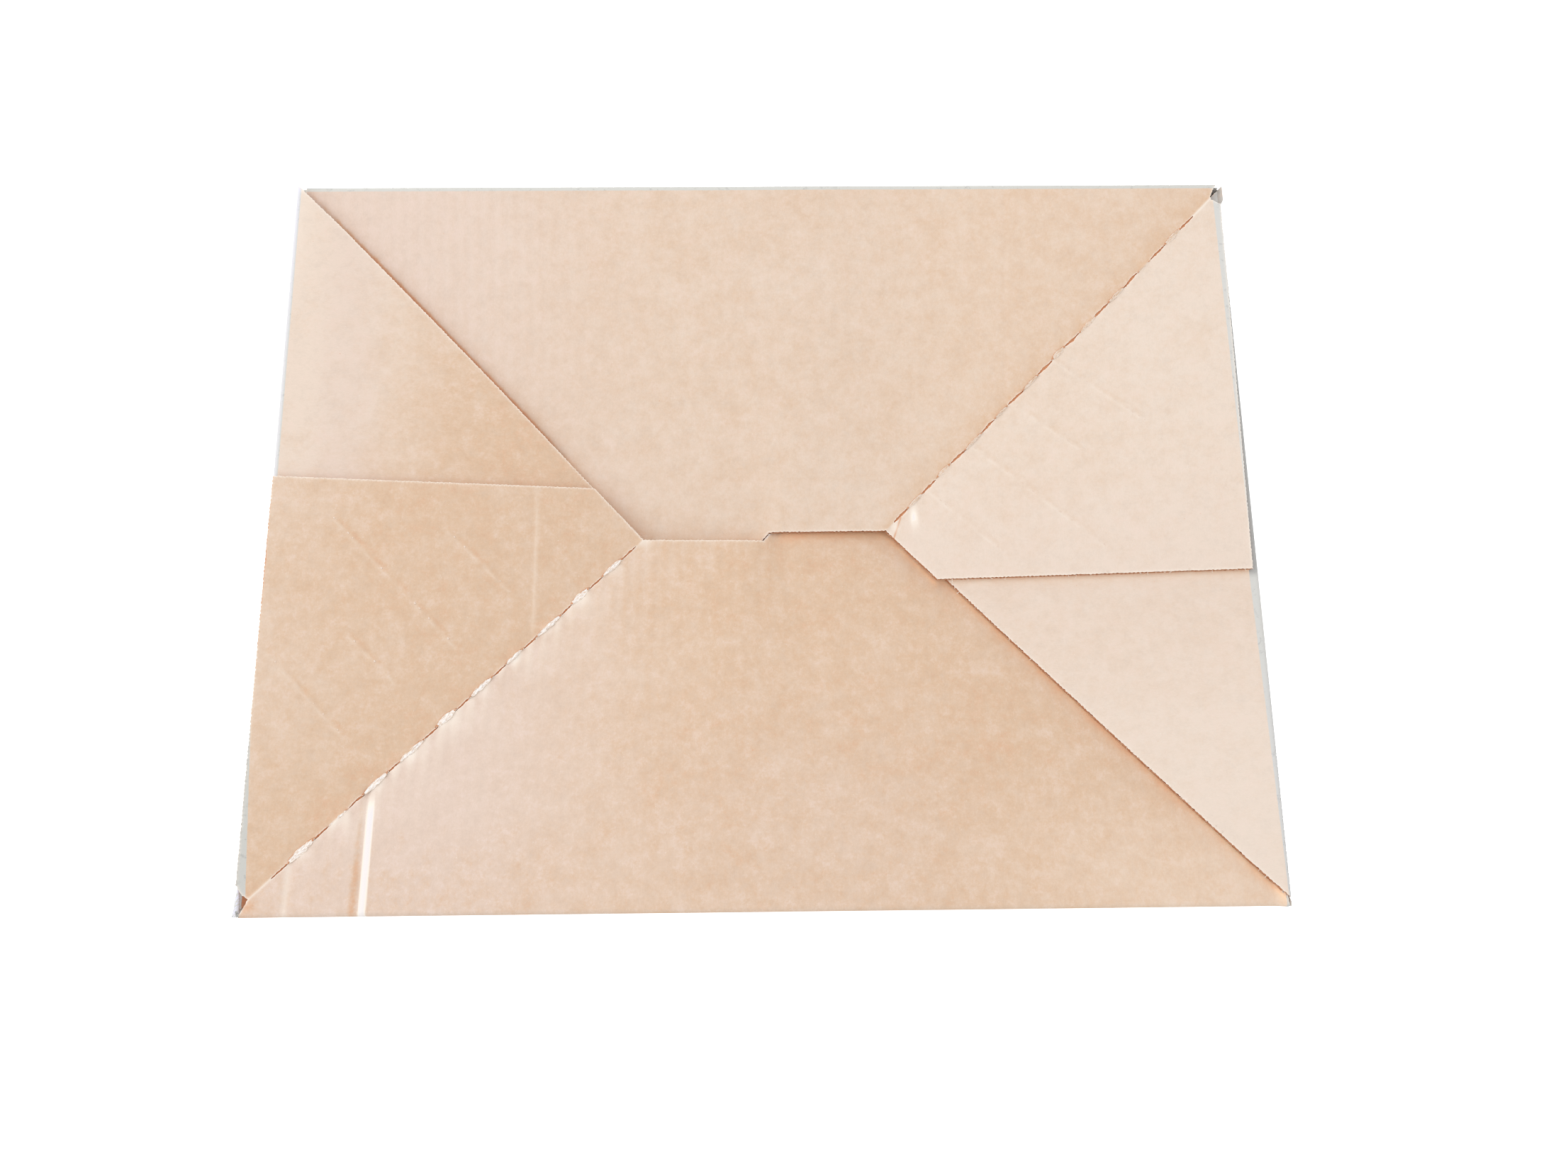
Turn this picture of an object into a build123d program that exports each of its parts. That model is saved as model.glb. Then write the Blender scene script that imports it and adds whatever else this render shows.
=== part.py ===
from build123d import *

import os
from math import hypot, radians, tan

# A carton with an auto-lock bottom, turned bottom up and standing on its open rim.
# It is one die-cut sheet of corrugated board. X runs along the length, Y across the
# width with the far side at +Y, and Z up. The origin is the middle of the footprint,
# at the rim. All sizes are in millimetres.

# Carton
LENGTH = 450.0
WIDTH = 340.0
HEIGHT = 240.0
BOARD = 3.0
CORNER_RADIUS = 3.2
INSIDE_CORNER_RADIUS = 0.8
CREASE_RADIUS = 2.2
CREASE_OVERCUT = 0.1

# Locked bottom
DISH = 24.7
LAP_CLEARANCE = 0.3
DIAGONAL_START = 1.2
EDGE_SETBACK = 1.8
HOOK_SHIFT = 2.4
HOOK_RUN = 2.1
HOOK_SPREAD = 60.0
HOOK_KERF = 0.4
TONGUE = 22.0
TONGUE_CHAMFER = 8.0
UNDERLAP = 18.0

# Glue tabs on the far and near flaps
TAB_PAST_MIDDLE = 22.8
TAB_TIP_ANGLE = 46.5
TAB_INSET_AT_CORNER = 0.8
TAB_INSET_AT_END = 2.7
SLIT_START = 21.0
SLIT_LENGTH = 10.0
SLIT_GAP = 10.0
SLIT_WIDTH = 0.9

# Side flaps
SIDE_EDGE_START = 1.0
RIGHT_TIP_INSET = 5.0
LEFT_TIP_INSET = -1.0
SIDE_SETBACK = 12.0

# Corner reliefs between neighbouring flaps
RELIEF_GAP = 0.4
RELIEF_ON_DIAGONAL = 6.2
RELIEF_ON_SIDE = 11.0

# Glued corner joint
GLUE_LAP = 34.0
GLUE_LAP_END = 12.0
GLUE_LAP_TAPER = 10.0
SEAM = 1.6

# How far construction solids run past what trims them
TRIM = 5.0

half_length = LENGTH / 2
half_width = WIDTH / 2
layer = BOARD + LAP_CLEARANCE
diagonal_run = half_width - DIAGONAL_START - EDGE_SETBACK
apex_x = half_length - diagonal_run
apex_y = EDGE_SETBACK
crease_relief = CORNER_RADIUS + RELIEF_GAP


def far_crease_height(x):
    """Outer face of the far crease: level with the top at its tab, one layer lower at its other end."""
    return HEIGHT - layer * (half_length - x) / LENGTH


# The right flap lies flat between its crease, one board low at the far corner and level
# with the top at the near corner, and the far flap's apex, where it is one board under it.
apex_share = (half_width - apex_y) / WIDTH
side_slope = (DISH + BOARD * apex_share) / (diagonal_run + DIAGONAL_START * (1 - apex_share))
side_low_end = HEIGHT - BOARD - side_slope * DIAGONAL_START


def side_crease_height(y):
    """Outer face of the right crease, which rises towards the near corner."""
    return side_low_end + (HEIGHT - side_low_end) * (half_width - y) / WIDTH


def outside_crease(section_plane, crease_place, crease_height, direction):
    """What a fold's outer rounding leaves off a flap, drawn on a section and run along its crease."""
    inset = CREASE_RADIUS - CREASE_OVERCUT
    drop = inset * (side_slope + hypot(1, side_slope))
    with BuildPart() as cutter:
        with BuildSketch(section_plane):
            with Locations((crease_place - inset, crease_height - drop)):
                Rectangle(CREASE_RADIUS + TRIM, CREASE_RADIUS + TRIM, align=Align.MIN)
                Circle(CREASE_RADIUS, mode=Mode.SUBTRACT)
        extrude(amount=direction.length, dir=direction)
    return cutter.part


def side_slab_section(y, lift):
    """Section of a slab that lies in the right flap's slope, raised by lift, at one y."""
    inner_x = apex_x - TRIM
    outer_x = half_length + TRIM
    inner_z = side_crease_height(y) + lift - side_slope * (half_length - inner_x)
    outer_z = side_crease_height(y) + lift + side_slope * TRIM
    return [
        (inner_x, inner_z),
        (outer_x, outer_z),
        (outer_x, outer_z - BOARD),
        (inner_x, inner_z - BOARD),
    ]


def major_flap(hook_x):
    """The far flap with its glue tab. Turned half round, the same shape is the near flap."""
    # Each station is an upright section from the crease to the centre edge: where it meets
    # the crease, where it meets the centre edge, and how many layers the edge is sunk there.
    sink_per_mm = 0.5 / (apex_x - HOOK_RUN)
    stations = [
        (half_length + DIAGONAL_START, apex_x, apex_y, 0.0),
        (hook_x + HOOK_SPREAD, hook_x + HOOK_RUN, apex_y, 0.5),
        (hook_x - HOOK_SPREAD, hook_x - HOOK_RUN, apex_y, 1.5),
        (-half_length - DIAGONAL_START, -apex_x, -apex_y, 2.0),
        (
            -half_length - TRIM,
            -apex_x - UNDERLAP - TRIM,
            -apex_y,
            2.0 + sink_per_mm * (UNDERLAP + TRIM),
        ),
    ]

    tab_end_y = -TAB_PAST_MIDDLE
    tab_corner_x = apex_x + (apex_y - tab_end_y) / tan(radians(TAB_TIP_ANGLE))
    flap_outline = [
        (half_length + DIAGONAL_START + TRIM, half_width),
        (apex_x + TRIM, apex_y),
        (hook_x + HOOK_RUN - HOOK_KERF / 2, apex_y),
        (hook_x - HOOK_RUN - HOOK_KERF / 2, -apex_y),
        (hook_x - HOOK_RUN - TONGUE_CHAMFER, -TONGUE),
        (-apex_x - UNDERLAP + TONGUE_CHAMFER, -TONGUE),
        (-apex_x - UNDERLAP, -apex_y),
        (-half_length + crease_relief, half_width - crease_relief),
        (-half_length + crease_relief, half_width),
    ]
    tab_outline = [
        (half_length, half_width - DIAGONAL_START),
        (apex_x, apex_y),
        (tab_corner_x, tab_end_y),
        (half_length - TAB_INSET_AT_END, tab_end_y),
        (half_length - TAB_INSET_AT_CORNER, half_width - RELIEF_ON_SIDE),
    ]
    relief_outline = [
        (half_length - crease_relief, half_width + TRIM),
        (half_length - crease_relief, half_width),
        (half_length - RELIEF_ON_DIAGONAL, half_width - RELIEF_ON_DIAGONAL),
        (half_length - TAB_INSET_AT_CORNER, half_width - RELIEF_ON_SIDE),
        (half_length + TRIM + DIAGONAL_START, half_width - RELIEF_ON_SIDE),
        (half_length + TRIM + DIAGONAL_START, half_width + TRIM),
    ]

    with BuildPart() as sheet:
        for x_crease, x_edge, y_edge, sunk in stations:
            z_crease = far_crease_height(x_crease)
            z_edge = HEIGHT - DISH - sunk * layer
            crease = Vector(x_crease, half_width, z_crease)
            per_mm = (Vector(x_edge, y_edge, z_edge) - crease) / (half_width - y_edge)
            start = crease - per_mm * TRIM
            end = crease + per_mm * (half_width + TONGUE + TRIM)
            run = Vector(end.X - start.X, end.Y - start.Y, 0)
            along = run.normalized()
            upright = Plane(
                origin=(start.X, start.Y, 0), x_dir=along, z_dir=along.cross(Vector(0, 0, 1))
            )
            with BuildSketch(upright):
                with BuildLine():
                    Polyline(
                        (0, start.Z),
                        (run.length, end.Z),
                        (run.length, end.Z - BOARD),
                        (0, start.Z - BOARD),
                        close=True,
                    )
                make_face()
        loft(ruled=True)
        with BuildSketch(Plane.XY):
            with BuildLine():
                Polyline(*flap_outline, close=True)
            make_face()
        extrude(amount=HEIGHT + TRIM, mode=Mode.INTERSECT)
        add(
            outside_crease(
                Plane.YZ.offset(-half_length),
                half_width,
                far_crease_height(-half_length),
                Vector(LENGTH, 0, layer),
            ),
            mode=Mode.SUBTRACT,
        )

    rise = side_crease_height(-half_width) - side_crease_height(half_width)
    with BuildPart() as tab:
        with BuildSketch(Plane.XZ.offset(-half_width)):
            with BuildLine():
                Polyline(*side_slab_section(half_width, BOARD), close=True)
            make_face()
        extrude(amount=Vector(0, WIDTH, rise).length, dir=(0, -WIDTH, rise))
        with BuildSketch(Plane.XY):
            with BuildLine():
                Polyline(*tab_outline, close=True)
            make_face()
        extrude(amount=HEIGHT + 2 * TRIM, mode=Mode.INTERSECT)

    slit_pitch = SLIT_LENGTH + SLIT_GAP
    diagonal_length = Vector(diagonal_run, diagonal_run, 0).length
    slit_count = int((diagonal_length - SLIT_START - SLIT_LENGTH) / slit_pitch) + 1
    slit_places = []
    for i in range(slit_count):
        along_diagonal = (SLIT_START + SLIT_LENGTH / 2 + i * slit_pitch) / diagonal_length
        slit_places.append(
            Location(
                (
                    half_length - along_diagonal * diagonal_run,
                    half_width - DIAGONAL_START - along_diagonal * diagonal_run,
                    HEIGHT,
                ),
                (0, 0, 45),
            )
        )

    with BuildPart() as flap:
        add(sheet.part)
        add(tab.part)
        with Locations(*slit_places):
            Box(SLIT_LENGTH, SLIT_WIDTH, 2 * (DISH + BOARD + TRIM), mode=Mode.SUBTRACT)
        with BuildSketch(Plane.XY):
            with BuildLine():
                Polyline(*relief_outline, close=True)
            make_face()
        extrude(amount=HEIGHT + 2 * TRIM, mode=Mode.SUBTRACT)
    return flap.part


def side_flap(tip_inset):
    """The right flap, under the far flap's tab. Turned half round, it is the left flap."""
    outline = [
        (half_length, half_width - crease_relief),
        (half_length - crease_relief, half_width - crease_relief),
        (half_length - SIDE_SETBACK, half_width - SIDE_SETBACK),
        (apex_x + SIDE_SETBACK, apex_y),
        (apex_x + tip_inset, apex_y),
        (half_length - SIDE_EDGE_START, -half_width + crease_relief),
        (half_length, -half_width + crease_relief),
    ]
    rise = side_crease_height(-half_width) - side_crease_height(half_width)
    with BuildPart() as flap:
        with BuildSketch(Plane.XZ.offset(-half_width)):
            with BuildLine():
                Polyline(*side_slab_section(half_width, 0), close=True)
            make_face()
        extrude(amount=Vector(0, WIDTH, rise).length, dir=(0, -WIDTH, rise))
        with BuildSketch(Plane.XY):
            with BuildLine():
                Polyline(*outline, close=True)
            make_face()
        extrude(amount=HEIGHT + TRIM, mode=Mode.INTERSECT)
        add(
            outside_crease(
                Plane.XZ.offset(-half_width),
                half_length,
                side_crease_height(half_width),
                Vector(0, -WIDTH, rise),
            ),
            mode=Mode.SUBTRACT,
        )
    return flap.part


def above_far_wall():
    """What the far wall's panel loses above the underside of its flap."""
    with BuildPart() as cutter:
        with BuildSketch(Plane.XZ.offset(-half_width - TRIM)):
            with BuildLine():
                Polyline(
                    (-half_length - TRIM, HEIGHT + TRIM),
                    (half_length + TRIM, HEIGHT + TRIM),
                    (half_length + TRIM, far_crease_height(half_length + TRIM) - BOARD),
                    (-half_length - TRIM, far_crease_height(-half_length - TRIM) - BOARD),
                    close=True,
                )
            make_face()
        extrude(amount=BOARD + TRIM)
    return cutter.part


def above_right_wall():
    """What the right wall's panel loses above the underside of its flap."""
    with BuildPart() as cutter:
        with BuildSketch(Plane.YZ.offset(half_length - BOARD)):
            with BuildLine():
                Polyline(
                    (-half_width - TRIM, HEIGHT + TRIM),
                    (half_width + TRIM, HEIGHT + TRIM),
                    (half_width + TRIM, side_crease_height(half_width + TRIM) - BOARD),
                    (-half_width - TRIM, side_crease_height(-half_width - TRIM) - BOARD),
                    close=True,
                )
            make_face()
        extrude(amount=BOARD + TRIM)
    return cutter.part


with BuildPart() as walls:
    with BuildSketch(Plane.XY):
        Rectangle(LENGTH, WIDTH)
        glued_corner = vertices().sort_by_distance((-half_length, -half_width))[0]
        fillet(vertices() - ShapeList([glued_corner]), radius=CORNER_RADIUS)
        with BuildSketch(mode=Mode.SUBTRACT):
            RectangleRounded(LENGTH - 2 * BOARD, WIDTH - 2 * BOARD, INSIDE_CORNER_RADIUS)
    extrude(amount=HEIGHT)
    # The near wall's cut edge stands against the fold of the glue lap, with a groove between.
    with BuildSketch(Plane.XY):
        with BuildLine():
            Polyline(
                (-half_length, -half_width + BOARD),
                (-half_length + SEAM, -half_width + BOARD),
                (-half_length, -half_width + BOARD + SEAM),
                close=True,
            )
        make_face()
    extrude(amount=HEIGHT, mode=Mode.SUBTRACT)
    for turn in (0, 180):
        add(above_far_wall(), rotation=(0, 0, turn), mode=Mode.SUBTRACT)
        add(above_right_wall(), rotation=(0, 0, turn), mode=Mode.SUBTRACT)

with BuildPart() as glue_lap:
    with BuildSketch(Plane.XZ.offset(half_width - BOARD)):
        with BuildLine():
            Polyline(
                (-half_length + BOARD, GLUE_LAP_END),
                (-half_length + BOARD + GLUE_LAP, GLUE_LAP_END + GLUE_LAP_TAPER),
                (-half_length + BOARD + GLUE_LAP, HEIGHT - DISH - GLUE_LAP_TAPER),
                (-half_length + BOARD, HEIGHT - DISH),
                close=True,
            )
        make_face()
    extrude(amount=-BOARD)

with BuildPart() as carton:
    add(walls.part)
    add(glue_lap.part)
    add(side_flap(RIGHT_TIP_INSET))
    add(side_flap(LEFT_TIP_INSET), rotation=(0, 0, 180))
    add(major_flap(HOOK_SHIFT))
    add(major_flap(-HOOK_SHIFT), rotation=(0, 0, 180))

carton.part.label = "carton"

os.makedirs("parts", exist_ok=True)
export_step(carton.part, "parts/carton.step")
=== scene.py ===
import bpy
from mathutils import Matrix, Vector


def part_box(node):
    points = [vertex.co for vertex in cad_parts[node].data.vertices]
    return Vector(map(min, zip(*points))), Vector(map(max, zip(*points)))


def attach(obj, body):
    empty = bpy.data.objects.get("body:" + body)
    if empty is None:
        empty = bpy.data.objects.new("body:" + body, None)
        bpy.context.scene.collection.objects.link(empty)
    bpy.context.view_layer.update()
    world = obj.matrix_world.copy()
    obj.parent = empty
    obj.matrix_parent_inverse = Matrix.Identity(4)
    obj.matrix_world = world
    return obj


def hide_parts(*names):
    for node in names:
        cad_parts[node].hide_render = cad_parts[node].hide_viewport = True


bl_info = {
    "name": "Auto-lock Bottom Carton",
    "version": (1, 0, 0),
    "blender": (4, 5, 0),
    "location": "View3D > Sidebar > Carton",
    "description": "Makes a corrugated carton, bottom up, with its locked flaps and studio",
    "category": "Object",
}

from math import pi, radians, tan

import bpy
import numpy as np
from bpy.props import (
    FloatProperty,
    FloatVectorProperty,
    IntProperty,
    PointerProperty,
)
from bpy.types import Operator, Panel, PropertyGroup
from mathutils import Matrix, Vector
from mathutils.geometry import delaunay_2d_cdt

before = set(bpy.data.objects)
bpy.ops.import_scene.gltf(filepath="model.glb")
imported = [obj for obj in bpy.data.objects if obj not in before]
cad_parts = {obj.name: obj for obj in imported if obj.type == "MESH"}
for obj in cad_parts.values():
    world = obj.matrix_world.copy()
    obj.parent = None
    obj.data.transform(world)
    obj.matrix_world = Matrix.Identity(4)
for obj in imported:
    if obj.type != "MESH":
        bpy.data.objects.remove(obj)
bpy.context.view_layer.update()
low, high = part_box("carton")

MM = 0.001
# A diagonal fold runs at 45 degrees, so this turns its length into a length along either side.
ROOT = 2**-0.5
# Distance between the flutes of the board, for what is painted on it, in millimetres.
FLUTE = 6.1
# The board's edge: how deep each row lies as a share of the board, and how far in.
EDGE_ROWS = ((0.10, 0.0), (0.10, 0.7), (0.90, 0.7), (0.90, 0.0))
# Where glue beads under the tabs show through, as lines from one point to another in millimetres.
FAR_BEADS = ((140, 84, 180, 51), (117, 65, 150, 38), (102, 41, 158, -9), (80, 20, 110, -8))
NEAR_BEADS = (
    (-196, 4, -140, -55), (-146, -1, -118, -28), (-222, -55, -184, -96), (-186, -50, -166, -70)
)
# How each major flap's corner by its diagonal is cut, in millimetres. See far_outline.
FAR_NOTCH = (3.0, 6.3, 6.7, 10.7, 3.0, 1.7, 3.9)
NEAR_NOTCH = (2.4, 5.9, 7.6, 13.5, 0.9, 0.8, 1.7)


# Sizes and colours


def length(name, description, default):
    """A size in metres that the sidebar shows in the scene's own units."""
    return FloatProperty(
        name=name, description=description, default=default, unit="LENGTH", precision=5
    )


def colour(name, description, default):
    """A colour that the sidebar shows as a swatch."""
    return FloatVectorProperty(
        name=name,
        description=description,
        default=default,
        subtype="COLOR",
        size=3,
        min=0,
        max=1,
    )


class CartonSizes(PropertyGroup):
    length: length("Length", "Outside length of the carton", high.x - low.x)
    width: length("Width", "Outside width of the carton", high.y - low.y)
    height: length("Height", "Height of the creases over the rim", 0.240)
    board: length("Board", "Thickness of the board", 0.003)
    clearance: length("Lap clearance", "Air between boards that lap each other", 0.0003)
    corner: length("Corner radius", "Outside radius of the upright folds", 0.0032)
    crease: length("Crease radius", "Outside radius of the folds along the bottom", 0.0022)
    dish: length("Dish", "How far the middle of the bottom is sunk", 0.0247)
    glue_lap: length("Glue lap", "Width of the strip glued inside the near wall", 0.034)


class FlapSizes(PropertyGroup):
    diagonal_start: length("Diagonal start", "Gap from a corner to its diagonal fold", 0.0012)
    setback: length("Edge setback", "How far an apex stands back from the middle", 0.0018)
    hook_shift: length("Hook shift", "How far the hook lies to the right of the middle", 0.0006)
    hook_run: length("Hook run", "Half the run of the slanted hook cut", 0.0016)
    hook_spread: length("Hook spread", "Half the width of the twist at the crease", 0.060)
    hook_ease: length("Hook ease", "Half the width of the twist at the middle", 0.008)
    tongue: length("Tongue", "How far a locking tongue reaches past the middle", 0.022)
    chamfer: length("Tongue chamfer", "How far a tongue narrows at its end", 0.008)
    underlap: length("Underlap", "How far a flap runs on under its neighbour", 0.018)
    tab_end: length("Tab end", "How far a glue tab reaches past the middle", 0.0228)
    tab_angle: FloatProperty(
        name="Tab angle",
        description="Slope of a glue tab's short edge",
        default=radians(46.5),
        subtype="ANGLE",
    )
    right_tip: length("Right tip inset", "Setback of the right flap's tip", 0.005)
    left_tip: length("Left tip inset", "Setback of the left flap's tip", -0.001)
    side_setback: length("Side setback", "Setback of a side flap under a diagonal", 0.012)
    side_edge: length("Side edge", "Setback of a side flap's long edge", 0.001)


class BoardSettings(PropertyGroup):
    flute: length("Flute pitch", "Distance between the flutes of the board", 0.0061)
    washboard: length("Washboard", "How far the flutes show through the liner", 0.000022)
    slit: length("Slit length", "Length of a perforation cut", 0.010)
    bridge: length("Bridge length", "Board left between two cuts", 0.010)
    slit_start: length("First slit", "Plain fold before the first cut", 0.021)
    right_slit: length("Right slit width", "Width of a perforation cut, right fold", 0.0013)
    left_slit: length("Left slit width", "Width of a perforation cut, left fold", 0.0009)
    slit_depth: length("Slit depth", "How far the eye sees into a cut", 0.0006)
    right_lip: length("Right lip width", "Width of the raised lips, right fold", 0.0018)
    left_lip: length("Left lip width", "Width of the raised lips, left fold", 0.0026)
    seed: IntProperty(
        name="Seed", description="Seed for everything that varies by chance", default=4
    )


class PaperColours(PropertyGroup):
    light: colour("Light kraft", "Liner where it is palest", (0.738, 0.612, 0.515))
    tan: colour("Tan kraft", "Liner where it is darkest", (0.658, 0.468, 0.328))
    # Painted shade beside other boards' edges, through tone 1 to 2; also the colour of the brown
    # flecks.
    shadow: colour("Shaded kraft", "Liner close under another board's edge", (0.650, 0.330, 0.190))
    # Paler, pinker liner, mixed in broad patches by the cool attribute and by blotches.
    cool: colour("Cool kraft", "Liner where handling has bleached it", (0.690, 0.552, 0.475))
    inside: colour("Inside kraft", "Liner on the inside", (0.560, 0.410, 0.270))
    # Also mixed in through tint, partly as painted highlights beside folds, creases and glue beads.
    cream: colour("Torn paper", "Torn and stretched paper", (0.880, 0.800, 0.710))
    pulled: colour(
        "Pulled paper", "Liner pulled white over the left fold's bridges", (0.900, 0.850, 0.820)
    )
    medium: colour("Fluted paper", "Paper between the liners", (0.640, 0.330, 0.185))
    # Also the darkest painted shade, through tone 2 to 3, and the lips' line of painted shade.
    slit: colour("Slit", "Paper deep in a perforation cut", (0.560, 0.255, 0.135))
    glue: colour("Glue mark", "Liner lifted by a glue bead under it", (0.745, 0.600, 0.495))
    print: colour("Print", "Printed coat outside", (0.610, 0.605, 0.570))
    # Painted shade on the print, close under another board and in the corner notches.
    dim: colour("Dim print", "Printed coat close under another board", (0.270, 0.272, 0.265))
    # Also mixed in through tint from 1 to 2 for the painted highlights on the near flap's creases.
    curl: colour("Curled liner", "Printed liner that curls up at a corner", (0.740, 0.735, 0.830))


class StudioSettings(PropertyGroup):
    eye: FloatVectorProperty(
        name="Camera",
        description="Place of the camera",
        default=(0.00215, -0.10760, 0.66560),
        subtype="TRANSLATION",
    )
    aim: FloatVectorProperty(
        name="Aim",
        description="Point in the middle of the picture",
        default=(0.008568, -0.030234, 0.240),
        subtype="TRANSLATION",
    )
    roll: FloatProperty(
        name="Roll",
        description="Turn about the line of sight",
        default=radians(4.346),
        subtype="ANGLE",
    )
    lens: FloatProperty(name="Lens", description="Focal length in millimetres", default=22.13)
    key: FloatProperty(name="Key light", description="Watts of the light on the left", default=5.2)
    top: FloatProperty(name="Top light", description="Watts of the light overhead", default=7.0)
    fill: FloatProperty(name="Fill", description="Brightness all round", default=0.80)


# Shape of the carton


class Carton:
    """Sizes worked out once from the settings, and the heights of each panel's outer face."""

    def __init__(self, scene):
        self.sizes = scene.carton_sizes
        self.flaps = scene.carton_flaps
        s, f = self.sizes, self.flaps
        self.half_length = s.length / 2
        self.half_width = s.width / 2
        self.layer = s.board + s.clearance
        run = self.half_width - f.diagonal_start - f.setback
        self.apex = self.half_length - run
        share = (self.half_width - f.setback) / s.width
        self.slope = (s.dish + s.board * share) / (run + f.diagonal_start * (1 - share))
        self.side_low = s.height - s.board - self.slope * f.diagonal_start

    def far_crease(self, x):
        """Height of the far crease."""
        return self.sizes.height - self.layer * (self.half_length - x) / self.sizes.length

    def side_crease(self, y):
        """Height of the right crease."""
        rise = self.sizes.height - self.side_low
        return self.side_low + rise * (self.half_width - y) / self.sizes.width

    def side_face(self, x, y):
        """Height of the right flap."""
        return self.side_crease(y) - self.slope * (self.half_length - x)

    def panel_face(self, x, y, hook):
        """Height of the far flap's main panel, which twists from over to under its partner."""
        s, f = self.sizes, self.flaps
        hl, hw = self.half_length, self.half_width
        stations = (
            (hl + f.diagonal_start, self.apex, f.setback, 0.0),
            (hook + f.hook_spread, hook + f.hook_ease, f.setback, 0.5),
            (hook - f.hook_spread, hook - f.hook_ease, f.setback, 1.5),
            (-hl - f.diagonal_start, -self.apex, -f.setback, 2.0),
            (
                -hl - 5 * MM,
                -self.apex - f.underlap - 5 * MM,
                -f.setback,
                2.0 + 0.5 / (self.apex - f.hook_run) * (f.underlap + 5 * MM),
            ),
        )
        lines = []
        for x_crease, x_edge, y_edge, sunk in stations:
            share = (hw - y) / (hw - y_edge)
            z_crease = self.far_crease(x_crease)
            z_edge = s.height - s.dish - sunk * self.layer
            lines.append(
                (x_crease + (x_edge - x_crease) * share, z_crease + (z_edge - z_crease) * share)
            )
        face = lines[0][1] + 0 * x
        for i, (right, left) in enumerate(zip(lines, lines[1:])):
            part = (x - left[0]) / (right[0] - left[0])
            if i == 1:
                held = np.clip(part, 0, 1)
                part = held * held * (3 - 2 * held)
            face = np.where(x <= right[0], left[1] + (right[1] - left[1]) * part, face)
        return face

    def round_off(self, gap):
        """What the rounding of a crease takes off a flap, at a distance from the wall's face."""
        r = self.sizes.crease
        held = np.clip(r - gap, 0, r)
        return r - np.sqrt(np.maximum(r * r - held * held, 0))

    def diagonal(self, x, y):
        """Distance along the right diagonal fold from its corner, and across it to the tab."""
        dx = self.half_length - x
        dy = self.half_width - self.flaps.diagonal_start - y
        return (dx + dy) * ROOT, (dy - dx) * ROOT


def far_outline(c, hook, notch, lean):
    """Outline of the far flap and its glue tab.

    The notch tells how the corner by the diagonal is cut away: where it starts on the crease, its
    deepest point, where it ends on the tab's side, where the flap ends at its other corner, and how
    far the tab's side stands back from the wall at its start and end.
    The lean tells how far the tab's side of it swings out to the deepest point.
    """
    f, hl, hw = c.flaps, c.half_length, c.half_width
    start, deep_x, deep_y, side, other, inset_corner, inset_end = (v * MM for v in notch)
    tab_corner = c.apex + (f.setback + f.tab_end) / tan(f.tab_angle)
    return [
        (hl - start, hw),
        (-hl + other, hw),
        (-hl + other, hw - 14 * MM),
        (-c.apex - f.underlap, -f.setback),
        (-c.apex - f.underlap + f.chamfer, -f.tongue),
        (hook - f.hook_run - f.chamfer, -f.tongue),
        (hook - f.hook_run - 0.2 * MM, -f.setback),
        (hook + f.hook_run - 0.2 * MM, f.setback),
        (c.apex, f.setback),
        (tab_corner, -f.tab_end),
        (hl - inset_end, -f.tab_end),
        (hl - inset_corner, hw - side),
        (hl - deep_x * 0.55 * lean, hw - (deep_y + side) * (0.48 + 0.08 * lean)),
        (hl - deep_x * 0.93 * lean, hw - deep_y * 1.20),
        (hl - deep_x, hw - deep_y),
        (hl - deep_x * 0.9, hw - deep_y * 0.78),
    ]


def side_outline(c, tip, start, end, bow=()):
    """Outline of the right flap, which starts under the tab's notch and ends near the next corner.

    The bow tells how far its long edge swings out, at shares of its run from the tip.
    """
    f, hl, hw = c.flaps, c.half_length, c.half_width
    first, last = np.array((c.apex + tip, f.setback)), np.array((hl - f.side_edge, -hw + end))
    run = last - first
    out = np.array((run[1], -run[0])) / np.hypot(*run)
    bends = [tuple(first + run * share + out * swing * MM) for share, swing in bow]
    return [
        (hl, hw - start),
        (hl - 2.4 * MM, hw - start - 0.9 * MM),
        (hl - f.side_setback, hw - f.side_setback),
        (c.apex + f.side_setback, f.setback),
        tuple(first),
        *bends,
        tuple(last),
        (hl, -hw + end),
    ]


def perforation(c, board):
    """The length of a diagonal fold, the pitch of its cuts and their number."""
    run = 2**0.5 * (c.half_length - c.apex)
    pitch = board.slit + board.bridge
    return run, pitch, int((run - board.slit_start - board.slit) / pitch) + 1


def slit_loops(c, board, seed, width):
    """The perforation cuts on the right diagonal, as thin ragged outlines."""
    pitch, count = perforation(c, board)[1:]
    chance = np.random.default_rng(seed)
    loops = []
    for i in range(count):
        begin = board.slit_start + i * pitch + chance.uniform(-0.6, 0.6) * MM
        shares = np.linspace(0, 1, 13)
        wide = width / 2 * np.sqrt(np.sin(pi * np.clip(shares, 0.02, 0.98)))
        wide = wide * chance.uniform(0.5, 1.25, 13)
        sway = np.cumsum(chance.uniform(-0.13, 0.13, 13)) * MM
        sway = sway - sway.mean()
        along = begin + board.slit * shares
        line = np.r_[np.c_[along, sway + wide], np.c_[along, sway - wide][::-1]]
        x = c.half_length - (line[:, 0] - line[:, 1]) * ROOT
        y = c.half_width - c.flaps.diagonal_start - (line[:, 0] + line[:, 1]) * ROOT
        loops.append(np.c_[x, y])
    return loops


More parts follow.
